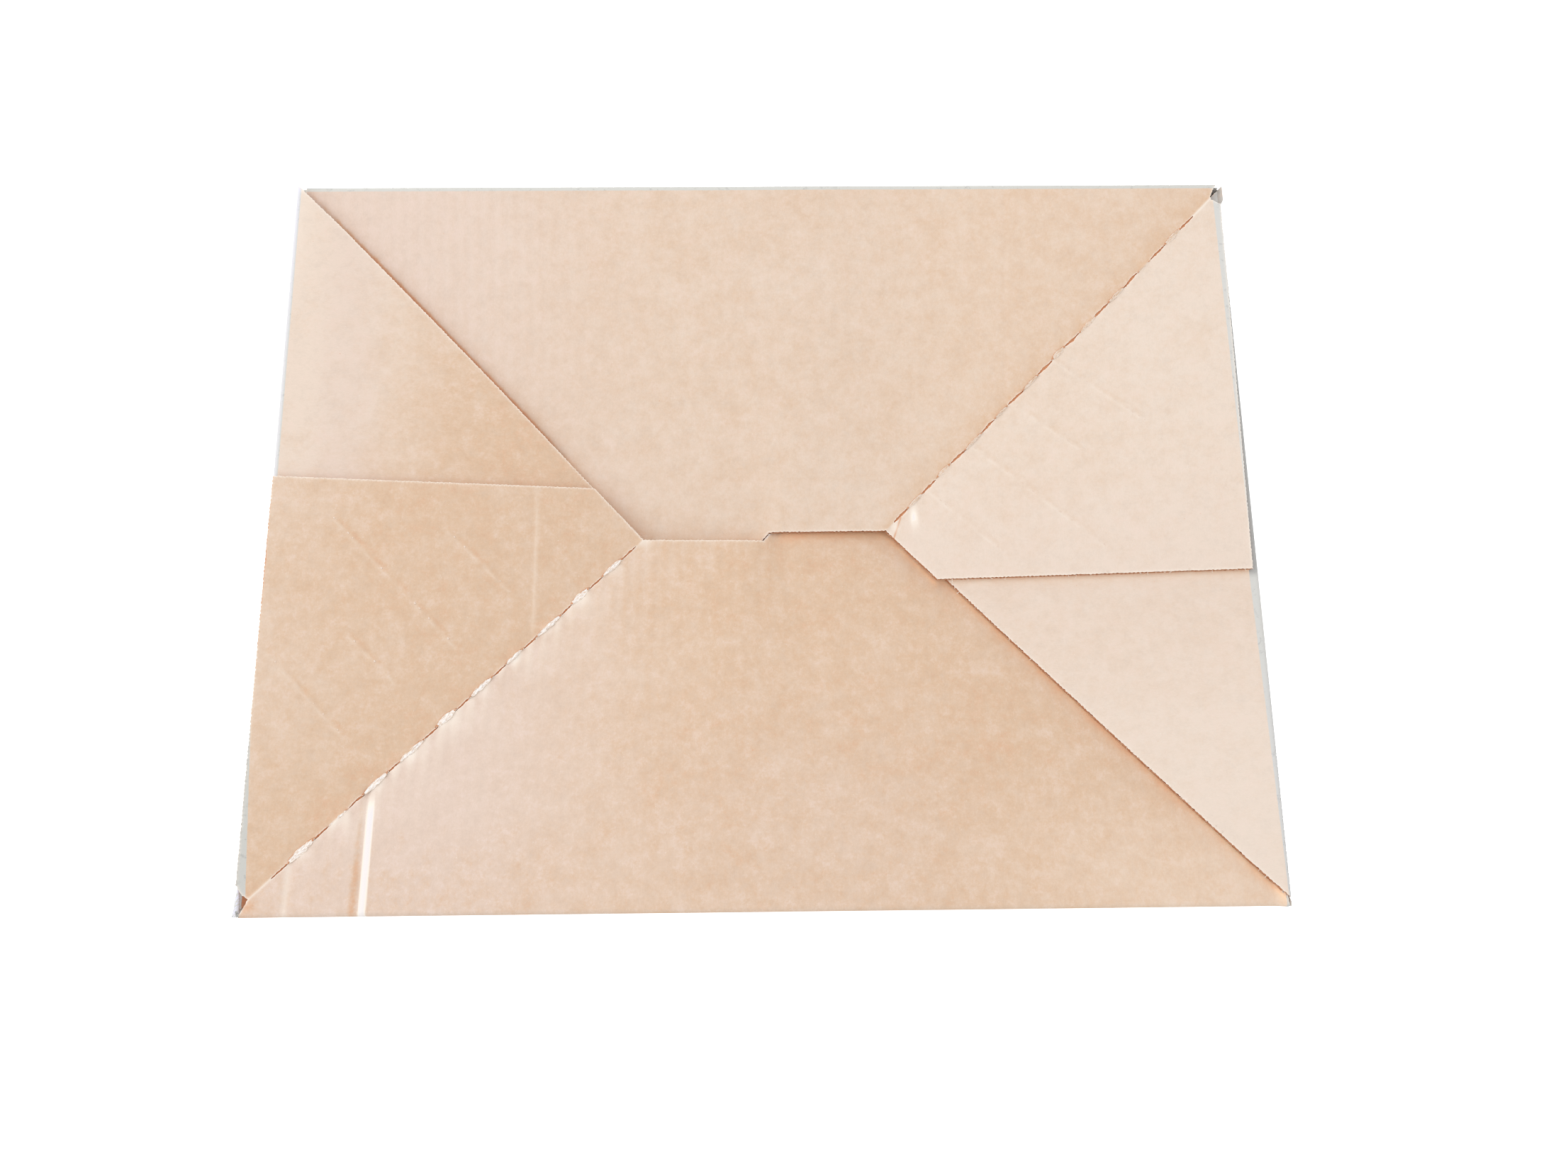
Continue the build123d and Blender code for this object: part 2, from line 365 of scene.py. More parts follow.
def ripple(x, y, size, seed):
    """Smooth lumps of about one size, between -1 and 1."""
    chance = np.random.default_rng(seed)
    total = 0 * x
    for _ in range(7):
        turn, phase = chance.uniform(0, 2 * pi, 2)
        pitch = size * chance.uniform(0.7, 1.5)
        total += np.sin(2 * pi * (x * np.cos(turn) + y * np.sin(turn)) / pitch + phase)
    return total / 4


# Meshes


def dense(points, step):
    """A closed outline with points added so that no run is longer than step."""
    result = []
    for a, b in zip(points, list(points[1:]) + [points[0]]):
        a, b = np.array(a, float), np.array(b, float)
        count = max(1, round(float(np.hypot(*(b - a))) / step))
        result += [a + (b - a) * i / count for i in range(count)]
    return np.array(result)


def inside(loop, x, y):
    """Which points lie within a closed outline."""
    odd = np.zeros(len(x), bool)
    for (ax, ay), (bx, by) in zip(loop, np.roll(loop, -1, 0)):
        if ay == by:
            continue
        crosses = (ay > y) != (by > y)
        odd ^= crosses & (x < (bx - ax) * (y - ay) / (by - ay) + ax)
    return odd


def gap_to(line, x, y):
    """Distance of each point from a run of straight lines."""
    nearest = np.full(len(x), 1e9)
    for (ax, ay), (bx, by) in zip(line[:-1], line[1:]):
        dx, dy = bx - ax, by - ay
        share = np.clip(((x - ax) * dx + (y - ay) * dy) / (dx * dx + dy * dy + 1e-18), 0, 1)
        nearest = np.minimum(nearest, np.hypot(x - ax - share * dx, y - ay - share * dy))
    return nearest


def outward(loop):
    """Which way is out at each point of a counter-clockwise outline."""
    before = loop - np.roll(loop, 1, 0)
    after = np.roll(loop, -1, 0) - loop
    before /= np.linalg.norm(before, axis=1)[:, None]
    after /= np.linalg.norm(after, axis=1)[:, None]
    both = before + after
    both /= np.maximum(np.linalg.norm(both, axis=1), 0.3)[:, None]
    return np.c_[both[:, 1], -both[:, 0]]


def grown(loop, gap):
    """A closed outline moved outwards by a gap, whichever way round it runs."""
    x, y = loop.T
    area = float(np.sum(x * np.roll(y, -1) - np.roll(x, -1) * y))
    return loop + outward(loop) * gap * np.sign(area)


def triangles(loops, points):
    """Triangles between closed outlines and loose points. The outlines come first in the result."""
    stacked = np.vstack(loops + [points])
    edges, start = [], 0
    for loop in loops:
        n = len(loop)
        edges += [(start + i, start + (i + 1) % n) for i in range(n)]
        start += n
    scaled = [Vector(p) for p in (stacked * 1000).tolist()]
    found, _, faces, sources, _, _ = delaunay_2d_cdt(scaled, edges, [], 1, 1e-5, True)
    place = np.array([tuple(v) for v in found]) / 1000
    order = np.full(len(stacked), -1)
    for i, source in enumerate(sources):
        for j in source:
            order[j] = i
    faces = np.array([f for f in faces if len(f) == 3])
    middle = place[faces].mean(1)
    keep = inside(loops[0], middle[:, 0], middle[:, 1])
    for hole in loops[1:]:
        keep &= ~inside(hole, middle[:, 0], middle[:, 1])
    faces = faces[keep]
    a, b, c = (place[faces[:, i]] for i in range(3))
    turned = (b[:, 0] - a[:, 0]) * (c[:, 1] - a[:, 1]) - (b[:, 1] - a[:, 1]) * (c[:, 0] - a[:, 0])
    faces[turned < 0] = faces[turned < 0][:, ::-1]
    return place, faces, order[:start]


def grid(loops, step_x, step_y, clear):
    """Loose points within an outline, clear of it and of its holes."""
    outer = loops[0]
    xs = np.arange(outer[:, 0].min() + step_x / 2, outer[:, 0].max(), step_x)
    ys = np.arange(outer[:, 1].min() + step_y / 2, outer[:, 1].max(), step_y)
    x, y = (a.ravel() for a in np.meshgrid(xs, ys))
    keep = inside(outer, x, y)
    for loop in loops:
        keep[keep] = gap_to(np.vstack([loop, loop[:1]]), x[keep], y[keep]) > clear
    return np.c_[x[keep], y[keep]]


def plain_mesh(name, vertices, faces, materials, indices):
    """A mesh from plain arrays, smooth but for its sharp edges."""
    mesh = bpy.data.meshes.new(name)
    mesh.from_pydata(np.asarray(vertices).tolist(), [], [list(map(int, f)) for f in faces])
    for material in materials:
        mesh.materials.append(material)
    mesh.polygons.foreach_set("material_index", np.asarray(indices, np.int32))
    mesh.validate()
    mesh.shade_smooth()
    mesh.set_sharp_from_angle(angle=radians(38))
    return mesh


def place(name, mesh):
    """Puts a mesh into the scene as an object at the origin."""
    old = bpy.data.objects.get(name)
    if old:
        bpy.data.objects.remove(old)
    obj = bpy.data.objects.new(name, mesh)
    bpy.context.scene.collection.objects.link(obj)
    return obj


def settle(obj, stands_for_carton=False):
    """Says what an object rides on and, if asked, hides the carton part it stands for."""
    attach(obj, "root")
    if stands_for_carton:
        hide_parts("carton")


def board_sheet(
    name, outline, holes, face, thickness, is_cut, extra, step, materials, look, groove
):
    """A flat piece of board: a fine outer face, a plain inner face and an open fluted edge."""
    outer = dense(outline, 0.9 * MM)
    # Cut edges are serrated by the blade, and a little ragged.
    rough = is_cut(outer[:, 0], outer[:, 1])
    tooth = np.arange(len(outer)) % 2 * 0.22 + np.random.default_rng(3).uniform(0, 0.22, len(outer))
    outer = outer - outward(outer) * (rough * tooth * MM)[:, None]
    loops = [outer] + holes
    out = outward(outer)
    shy = (
        [outer - out * 0.35 * MM, outer - out * 1.1 * MM]
        + [grown(hole, 0.4 * MM) for hole in holes]
    )
    shy = [p[inside(outer, p[:, 0], p[:, 1])] for p in shy]
    keep = inside(outer, extra[:, 0], extra[:, 1])
    for loop in holes:
        keep &= ~inside(loop, extra[:, 0], extra[:, 1])
    for loop in loops:
        closed = np.vstack([loop, loop[:1]])
        keep[keep] = gap_to(closed, extra[keep, 0], extra[keep, 1]) > 0.30 * MM
    shy.append(extra[keep])
    points = np.vstack(shy + [grid(loops, step[0], step[1], 1.8 * MM)])
    upper, upper_faces, upper_loop = triangles(loops, points)
    lower, lower_faces, lower_loop = triangles(loops, grid(loops, 9 * MM, 9 * MM, 4 * MM))
    upper_z = face(upper[:, 0], upper[:, 1], True)
    lower_z = face(lower[:, 0], lower[:, 1], False) - thickness
    vertices = [np.c_[upper, upper_z]]
    faces = [tuple(f) for f in upper_faces]
    kinds = [0] * len(upper_faces)
    base = len(upper)
    vertices.append(np.c_[lower, lower_z])
    faces += [tuple(f[::-1] + base) for f in lower_faces]
    kinds += [1] * len(lower_faces)
    total = base + len(lower)
    start = 0
    for k, loop in enumerate(loops):
        n = len(loop)
        above = upper_loop[start : start + n]
        below = lower_loop[start : start + n] + base
        rows = [above]
        z_up = upper_z[above]
        z_down = lower_z[below - base]
        if k == 0:
            cut = is_cut(loop[:, 0], loop[:, 1])
            for depth, inset in EDGE_ROWS:
                shift = (cut * inset * MM)[:, None] * out
                spot = loop - shift
                vertices.append(np.c_[spot, z_up + (z_down - z_up) * depth])
                rows.append(np.arange(n) + total)
                total += n
            rows.append(below)
            pairs = list(zip(rows, rows[1:]))
        else:
            # A cut through the board closes to a line inside it, from above and from below.
            cut = np.ones(n)
            middle = (loop + loop[::-1]) / 2
            pairs = []
            for row, z, sink in ((above, z_up, groove), (below, z_down, -groove)):
                vertices.append(np.c_[middle, z - sink])
                closed = np.arange(n) + total
                total += n
                pairs.append((row, closed) if sink > 0 else (closed, row))
        for high_row, low_row in pairs:
            for i in range(n):
                j = (i + 1) % n
                faces.append((high_row[i], low_row[i], low_row[j], high_row[j]))
                kinds.append(3 if k else 2 if cut[i] > 0.5 else 0)
        start += n
    mesh = plain_mesh(name, np.vstack(vertices), faces, materials, kinds)
    count = len(mesh.vertices)
    co = np.zeros(count * 3)
    mesh.vertices.foreach_get("co", co)
    co = co.reshape(-1, 3)
    gap = gap_to(np.vstack([outer, outer[:1]]), co[:, 0], co[:, 1])
    near = np.exp(-gap / (0.4 * MM))
    near[~is_cut(co[:, 0], co[:, 1]).astype(bool)] = 0
    for hole in holes:
        close = np.hypot(*(co[:, :2] - hole.mean(0)).T) < 9 * MM
        gap = gap_to(np.vstack([hole, hole[:1]]), co[close, 0], co[close, 1])
        near[close] = np.maximum(near[close], 0.9 * np.exp(-gap / (0.25 * MM)))
    write_attribute(mesh, "edge", near)
    for name, values in look(co[:, 0], co[:, 1]).items():
        write_attribute(mesh, name, values + np.zeros(count))
    return mesh


def write_attribute(mesh, name, values):
    """One number at each point of a mesh, for a material to read."""
    layer = mesh.attributes.new(name, "FLOAT", "POINT")
    layer.data.foreach_set("value", np.asarray(values, np.float32))


def band(x0, y0, x1, y1, wide, step):
    """Loose points in a band along a line, for detail beside a fold."""
    run = float(np.hypot(x1 - x0, y1 - y0))
    along = np.arange(step / 2, run, step)
    across = np.arange(-wide, wide + step / 2, step)
    a, d = (v.ravel() for v in np.meshgrid(along, across))
    ux, uy = (x1 - x0) / run, (y1 - y0) / run
    return np.c_[x0 + a * ux - d * uy, y0 + a * uy + d * ux]


# Nodes


class Nodes:
    """Adds nodes to a tree, with inputs given by name or number."""

    def __init__(self, tree):
        self.tree = tree

    def __call__(self, kind, inputs=None, **settings):
        node = self.tree.nodes.new(kind)
        for name, value in settings.items():
            setattr(node, name, value)
        for key, value in (inputs or {}).items():
            if isinstance(value, bpy.types.NodeSocket):
                self.tree.links.new(value, node.inputs[key])
            else:
                node.inputs[key].default_value = value
        return node

    def out(self, kind, inputs=None, **settings):
        """A new node's first output."""
        return self(kind, inputs, **settings).outputs[0]

    def math(self, operation, *values):
        """Arithmetic on numbers."""
        return self.out("ShaderNodeMath", dict(enumerate(values)), operation=operation)

    def times(self, first, second):
        """A product of two numbers."""
        return self.math("MULTIPLY", first, second)

    def plus(self, first, second):
        """A sum of two numbers."""
        return self.math("ADD", first, second)

    def line(self, value, slope, start):
        """A number times a slope, plus a start."""
        return self.math("MULTIPLY_ADD", value, slope, start)

    def vector(self, x=0.0, y=0.0, z=0.0):
        """A vector made of three numbers."""
        return self.out("ShaderNodeCombineXYZ", {0: x, 1: y, 2: z})

    def vectors(self, operation, first, second):
        """Arithmetic on two vectors."""
        return self.out("ShaderNodeVectorMath", {0: first, 1: second}, operation=operation)

    def scaled(self, vector, scale):
        """A vector times a number."""
        return self.out("ShaderNodeVectorMath", {0: vector, "Scale": scale}, operation="SCALE")

    def read(self, name, kind):
        """A named value at each point of the geometry."""
        return self.out("GeometryNodeInputNamedAttribute", {"Name": name}, data_type=kind)

    def stray(self, low, high, seed):
        """A vector by chance for each point."""
        values = {0: low, 1: high, "Seed": seed}
        return self.out("FunctionNodeRandomValue", values, data_type="FLOAT_VECTOR")

    def chance(self, low, high, seed):
        """A number by chance for each point."""
        values = {2: low, 3: high, "Seed": seed}
        return self("FunctionNodeRandomValue", values, data_type="FLOAT").outputs[1]

    def ball(self, segments, rings):
        """A ball one across."""
        values = {"Segments": segments, "Rings": rings, "Radius": 0.5}
        return self.out("GeometryNodeMeshUVSphere", values)

    def bead(self, sides, radius):
        """A small ring, as the profile of a rod."""
        values = {"Resolution": sides, "Radius": radius}
        return self.out("GeometryNodeCurvePrimitiveCircle", values)

    def arc(self, steps, start, middle, end):
        """A bowed line."""
        values = {"Resolution": steps, "Start": start, "Middle": middle, "End": end}
        return self.out("GeometryNodeCurveQuadraticBezier", values)

    def tube(self, curve, profile):
        """A closed rod along a line."""
        values = {"Curve": curve, "Profile Curve": profile, "Fill Caps": True}
        return self.out("GeometryNodeCurveToMesh", values)

    def spaced(self, given):
        """Evenly spaced points along the lines that a tree is given."""
        curve = self.out("GeometryNodeMeshToCurve", {0: given["Geometry"]})
        values = {"Curve": curve, "Length": given["Spacing"]}
        return self.out("GeometryNodeCurveToPoints", values, mode="LENGTH")

    def copies(self, points, instance, rotation, scale, **others):
        """Instances on points."""
        values = {"Points": points, "Instance": instance, "Rotation": rotation, "Scale": scale}
        return self.out("GeometryNodeInstanceOnPoints", {**values, **others})

    def noise(self, vector, scale, detail=2.0, roughness=0.5):
        """Soft noise between 0 and 1."""
        values = {"Vector": vector, "Scale": scale, "Detail": detail, "Roughness": roughness}
        return self.out("ShaderNodeTexNoise", values)

    def stretch(self, vector, scale):
        """The same place with its axes scaled."""
        return self.vectors("MULTIPLY", vector, scale)

    def ramp(self, value, low_in, high_in, low_out=0.0, high_out=1.0, smooth=True):
        """A number mapped from one range to another."""
        values = {0: value, 1: low_in, 2: high_in, 3: low_out, 4: high_out}
        style = "SMOOTHSTEP" if smooth else "LINEAR"
        return self.out("ShaderNodeMapRange", values, interpolation_type=style)

    def mix(self, share, first, second, blend="MIX"):
        """Two colours mixed by a share."""
        node = self("ShaderNodeMix", {0: share}, data_type="RGBA", blend_type=blend)
        for socket, value in ((node.inputs[6], first), (node.inputs[7], second)):
            if isinstance(value, bpy.types.NodeSocket):
                self.tree.links.new(value, socket)
            else:
                socket.default_value = (*value, 1)
        return node.outputs[2]


def new_material(name):
    """An empty node material and the helper that fills it."""
    material = bpy.data.materials.new(name)
    material.use_nodes = True
    material.node_tree.nodes.clear()
    make = Nodes(material.node_tree)
    here = make("ShaderNodeTexCoord").outputs["Object"]
    return material, make, make.scaled(here, 1 / MM)


def finish_material(make, base, roughness, height, distance, specular):
    """Ends a material in one shader with a bump, whose height is in millimetres."""
    bump = make("ShaderNodeBump", {"Height": height, "Distance": distance * MM, "Strength": 1.0})
    shader = make(
        "ShaderNodeBsdfPrincipled",
        {
            "Base Color": base,
            "Roughness": roughness,
            "Specular IOR Level": specular,
            "Normal": bump.outputs[0],
        },
    )
    make("ShaderNodeOutputMaterial", {"Surface": shader.outputs[0]})


def liner(name, colours, flutes_along_y, strips=()):
    """Kraft liner: tone from the panel, fibres, blotches, pale cut edges, painted shade and light,
    print.
    """
    material, make, here = new_material(name)
    split = make("ShaderNodeSeparateXYZ", {0: here})
    x, y = split.outputs[0], split.outputs[1]

    def read(attribute):
        return make("ShaderNodeAttribute", attribute_name=attribute).outputs["Fac"]

    grain = (1.0, 0.35, 1.0) if flutes_along_y else (0.35, 1.0, 1.0)
    fibres = make.noise(make.stretch(here, grain), 1.6, 3.0, 0.65)
    # Blotches of every size from a centimetre down, in tone and, elsewhere, in hue.
    mottle = make.noise(here, 0.13, 4.0, 0.95)
    elsewhere = make.vectors("ADD", here, (311.0, 97.0, 53.0))
    hue = make.noise(elsewhere, 0.09, 4.0, 0.9)
    cloud = make.noise(elsewhere, 0.020, 2.0)
    # Tone is 0 for the palest liner, 1 for tan, 2 for painted shade under another edge, 3 for the
    # darkest painted shade, in the slit's colour.
    tone = make.plus(read("tone"), make.line(cloud, 0.40, -0.20))
    tone = make.plus(tone, make.line(hue, 1.4, -0.70))
    base = make.mix(make.ramp(tone, 0, 1, smooth=False), colours.light, colours.tan)
    base = make.mix(make.ramp(tone, 1, 2, smooth=False), base, colours.shadow)
    base = make.mix(make.ramp(tone, 2, 3, smooth=False), base, colours.slit)
    cool = make.plus(read("cool"), make.ramp(mottle, 0.50, 0.66, 0.0, 0.4))
    # Painted shade and stretched liner keep their warm colour.
    cool = make.times(cool, make.ramp(tone, 0.7, 1.5, 1.0, 0.0))
    base = make.mix(make.ramp(cool, 0, 1, smooth=False), base, colours.cool)
    shade = make.line(mottle, 0.29, 0.855)
    shade = make.times(shade, make.line(fibres, 0.10, 0.95))
    grey = make.vector(shade, shade, shade)
    base = make.mix(1.0, base, grey, "MULTIPLY")
    # Painted warm light: at the base of another board's edge the liner is made brighter and warmer,
    # as if lit from that edge.
    warm = make.vectors("MULTIPLY", base, (1.52, 1.30, 1.16))
    warm = make.vectors("MINIMUM", warm, (0.95, 0.95, 0.95))
    base = make.mix(make.ramp(read("foot"), 0, 1, smooth=False), base, warm)
    # Tint mixes in torn paper and, from 1 to 2, the curled liner's colour; part of it is painted
    # highlight on creases, folds and glue beads.
    base = make.mix(make.ramp(read("tint"), 0.0, 1.0, smooth=False), base, colours.cream)
    base = make.mix(make.ramp(read("tint"), 1.0, 2.0, smooth=False), base, colours.curl)
    # A few stray brown flecks, and more pale ones that lie with the grain.
    fleck = make.ramp(make.noise(elsewhere, 0.55, 1.0), 0.80, 0.86)
    base = make.mix(make.times(fleck, 0.45), base, colours.shadow)
    pale = make.noise(make.stretch(elsewhere, grain), 2.4, 1.0)
    base = make.mix(make.times(make.ramp(pale, 0.72, 0.80), 0.35), base, colours.cream)
    # Pale cut edges: partly torn fibres, partly a painted highlight on the liner's crushed edge;
    # left out where painted shade lies.
    ragged = make.times(read("edge"), make.ramp(fibres, 0.3, 0.6, 0.45, 1.0))
    ragged = make.times(ragged, make.ramp(tone, 1.3, 1.9, 1.0, 0.0))
    base = make.mix(ragged, base, colours.cream)
    # Print that laps over a fold, on the side of a line where a x + b y is over its limit.
    if strips:
        spots = make.noise(here, 0.35, 3.0, 0.7)
        coat = make.mix(make.ramp(spots, 0.55, 0.7, 0.0, 0.35), colours.print, colours.dim)
        # Where dim is set, the print takes painted shade, close under another board.
        coat = make.mix(make.ramp(read("dim"), 0, 1, smooth=False), coat, colours.dim)
        coat = make.mix(make.times(read("tint"), 0.8), coat, colours.curl)
        coat = make.mix(make.times(ragged, 0.8), coat, colours.cream)
    for a, b, limit in strips:
        side = make.line(x, a, make.times(y, b))
        jitter = make.line(fibres, 0.5, -0.25)
        side = make.math("SUBTRACT", make.plus(side, jitter), limit)
        printed = make.times(
            make.ramp(side, -0.12, 0.12), make.ramp(read("dim"), 1.2, 1.8, 1.0, 0.0)
        )
        base = make.mix(printed, base, coat)
    across = x if flutes_along_y else y
    wave = make.math("SINE", make.times(across, 2 * pi / FLUTE))
    wave = make.times(wave, read("flutes"))
    height = make.plus(wave, make.plus(fibres, mottle))
    finish_material(make, base, make.ramp(mottle, 0.3, 0.7, 0.82, 0.95), height, 0.045, 0.25)
    return material


def raw_paper(name, first, second, grain, fineness, blend, dull, bump):
    """Bare brown paper, with one colour worn into another."""
    material, make, here = new_material(name)
    fibres = make.noise(make.stretch(here, grain), *fineness)
    base = make.mix(make.ramp(fibres, *blend), first, second)
    finish_material(make, base, dull, fibres, *bump)
    return material


def torn_paper(name, first, second, shine):
    """Stretched, torn or lifted paper, with one colour worn into another."""
    material, make, here = new_material(name)
    # Its streaks lie along the diagonal folds.
    split = make("ShaderNodeSeparateXYZ", {0: here})
    along = make.plus(split.outputs[0], split.outputs[1])
    aside = make.math("SUBTRACT", split.outputs[0], split.outputs[1])
    turned = make.vector(make.times(along, 0.35), aside, split.outputs[2])
    fibres = make.noise(turned, 1.3, 3.0, 0.6)
    base = make.mix(make.ramp(fibres, 0.42, 0.62), first, second)
    finish_material(make, base, 1.0 - shine, fibres, 0.08, 0.2 + shine * 0.5)
    return material


def printed_wall(name, colours):
    """Printed coat outside: an even pale coat over kraft, with flutes, scuffs and worn folds."""
    material, make, here = new_material(name)
    fibres = make.noise(make.stretch(here, (1.0, 1.0, 0.3)), 1.2, 3.0, 0.6)
    mottle = make.noise(here, 0.12, 3.0, 0.6)
    cloud = make.noise(here, 0.012, 2.0)
    shade = make.line(mottle, 0.10, 0.92)
    shade = make.times(shade, make.line(cloud, 0.10, 0.96))
    grey = make.vector(shade, shade, shade)
    base = make.mix(1.0, colours.print, grey, "MULTIPLY")
    # Scuffs are short streaks where the coat is rubbed through to the kraft.
    streaks = make.noise(make.stretch(here, (0.35, 0.35, 0.05)), 1.0, 4.0, 0.75)
    patches = make.noise(here, 0.02, 2.0)
    rubbed = make.times(make.ramp(streaks, 0.62, 0.72), make.ramp(patches, 0.5, 0.68))
    base = make.mix(make.times(rubbed, 0.55), base, colours.tan)
    wear = make("ShaderNodeAttribute", attribute_name="edge").outputs["Fac"]
    worn = make.times(wear, make.ramp(streaks, 0.42, 0.62))
    base = make.mix(make.times(worn, 0.7), base, colours.light)
    height = make.plus(fibres, mottle)
    finish_material(make, base, make.ramp(mottle, 0, 1, 0.55, 0.72), height, 0.05, 0.35)
    return material


def paper_set(p):
    """Every finish on the carton, by the panel that wears it, made once and kept by name."""
    even, tall = (1.0, 1.0, 1.0), (1.0, 1.0, 0.4)
    finishes = {
        "far": ("far flap liner", liner, (p, True, ((0, 1, 167.4), (1, 0.0073, 220.94)))),
        "near": ("near flap liner", liner, (p, True, ((-1, -0.05, 227.9), (1, 0, 223.1)))),
        "right": ("right flap liner", liner, (p, False, ((1, 0.02128, 219.97),))),
        "left": ("left flap liner", liner, (p, False, ((-1, 0, 222.5),))),
        "inside": ("inside liner", liner, (p, True)),
        "cut": (
            "cut board", raw_paper,
            (p.slit, p.medium, even, (2.2, 3.0, 0.7), (0.4, 0.75), 0.95, (0.12, 0.15)),
        ),
        "slit": (
            "slit paper", raw_paper,
            (p.slit, p.medium, even, (1.5, 2.0, 0.6), (0.35, 0.65), 0.95, (0.08, 0.1)),
        ),
        "fluted": (
            "fluted paper", raw_paper,
            (p.medium, p.tan, tall, (1.8, 3.0, 0.6), (0.4, 0.8), 0.92, (0.06, 0.15)),
        ),
        "torn": ("torn paper", torn_paper, (p.cream, p.light, 0.1)),
        "stretched": ("stretched paper", torn_paper, (p.pulled, p.light, 0.45)),
        "kraft": ("lifted liner", torn_paper, (p.light, p.tan, 0.1)),
        "glue": ("glue mark", torn_paper, (p.glue, p.light, 0.2)),
        "curl": ("curled liner", torn_paper, (p.curl, p.print, 0.4)),
        "dim": ("dim print", torn_paper, (p.dim, p.print, 0.1)),
        "print": ("printed liner", printed_wall, (p,)),
    }
    ready = {}
    for key, (name, maker, values) in finishes.items():
        known = bpy.data.materials.get(name)
        if known is None:
            known = maker(name, *values)
        ready[key] = known
    return ready


def new_tree(name, **sockets):
    """An empty geometry node tree with named inputs, and the helper that fills it."""
    tree = bpy.data.node_groups.new(name, "GeometryNodeTree")
    tree.interface.new_socket("Geometry", in_out="INPUT", socket_type="NodeSocketGeometry")
    for kind, names in sockets.items():
        for socket in names.split(", "):
            tree.interface.new_socket(socket, in_out="INPUT", socket_type="NodeSocket" + kind)
    tree.interface.new_socket("Geometry", in_out="OUTPUT", socket_type="NodeSocketGeometry")
    make = Nodes(tree)
    return tree, make, make("NodeGroupInput").outputs


def end_tree(make, geometry, *materials):
    """Ends a tree in real geometry with its materials, each later one on parts with its number."""
    smooth = make.out("GeometryNodeSetShadeSmooth", {0: geometry})
    last = make.out("GeometryNodeRealizeInstances", {0: smooth})
    for number, material in enumerate(materials):
        values = {0: last, "Material": material}
        if number:
            part = make.read("part", "FLOAT")
            values["Selection"] = make.math("GREATER_THAN", part, number - 0.5)
        last = make.out("GeometryNodeSetMaterial", values)
    make("NodeGroupOutput", {0: last})


def numbered(make, geometry, number):
    """A part of an instance with its number, for its material."""
    values = {0: geometry, "Name": "part", "Value": number}
    return make.out("GeometryNodeStoreNamedAttribute", values, data_type="FLOAT", domain="POINT")


def flute_tree():
    """A wavy ribbon of paper that follows a cut edge, as the flutes show there."""
    tree, make, given = new_tree(
        "flutes along an edge", Float="Pitch, Rise, Ribbon, Paper", Material="Material"
    )
    curve = make.out("GeometryNodeMeshToCurve", {0: given["Geometry"]})
    values = {"Curve": curve, "Length": 0.0007}
    even = make.out("GeometryNodeResampleCurve", values, mode="LENGTH")
    turns = make.math("DIVIDE", make.read("run", "FLOAT"), given["Pitch"])
    wave = make.times(make.math("SINE", make.times(turns, 2 * pi)), given["Rise"])
    offset = make.scaled(make.read("lift", "FLOAT_VECTOR"), wave)
    waved = make.out("GeometryNodeSetPosition", {0: even, "Offset": offset})
    level = make("GeometryNodeSetCurveNormal", {0: waved})
    level.mode = "Z_UP"
    values = {"Width": given["Ribbon"], "Height": given["Paper"]}
    profile = make.out("GeometryNodeCurvePrimitiveQuadrilateral", values)
    end_tree(make, make.tube(level.outputs[0], profile), given["Material"])
    return tree


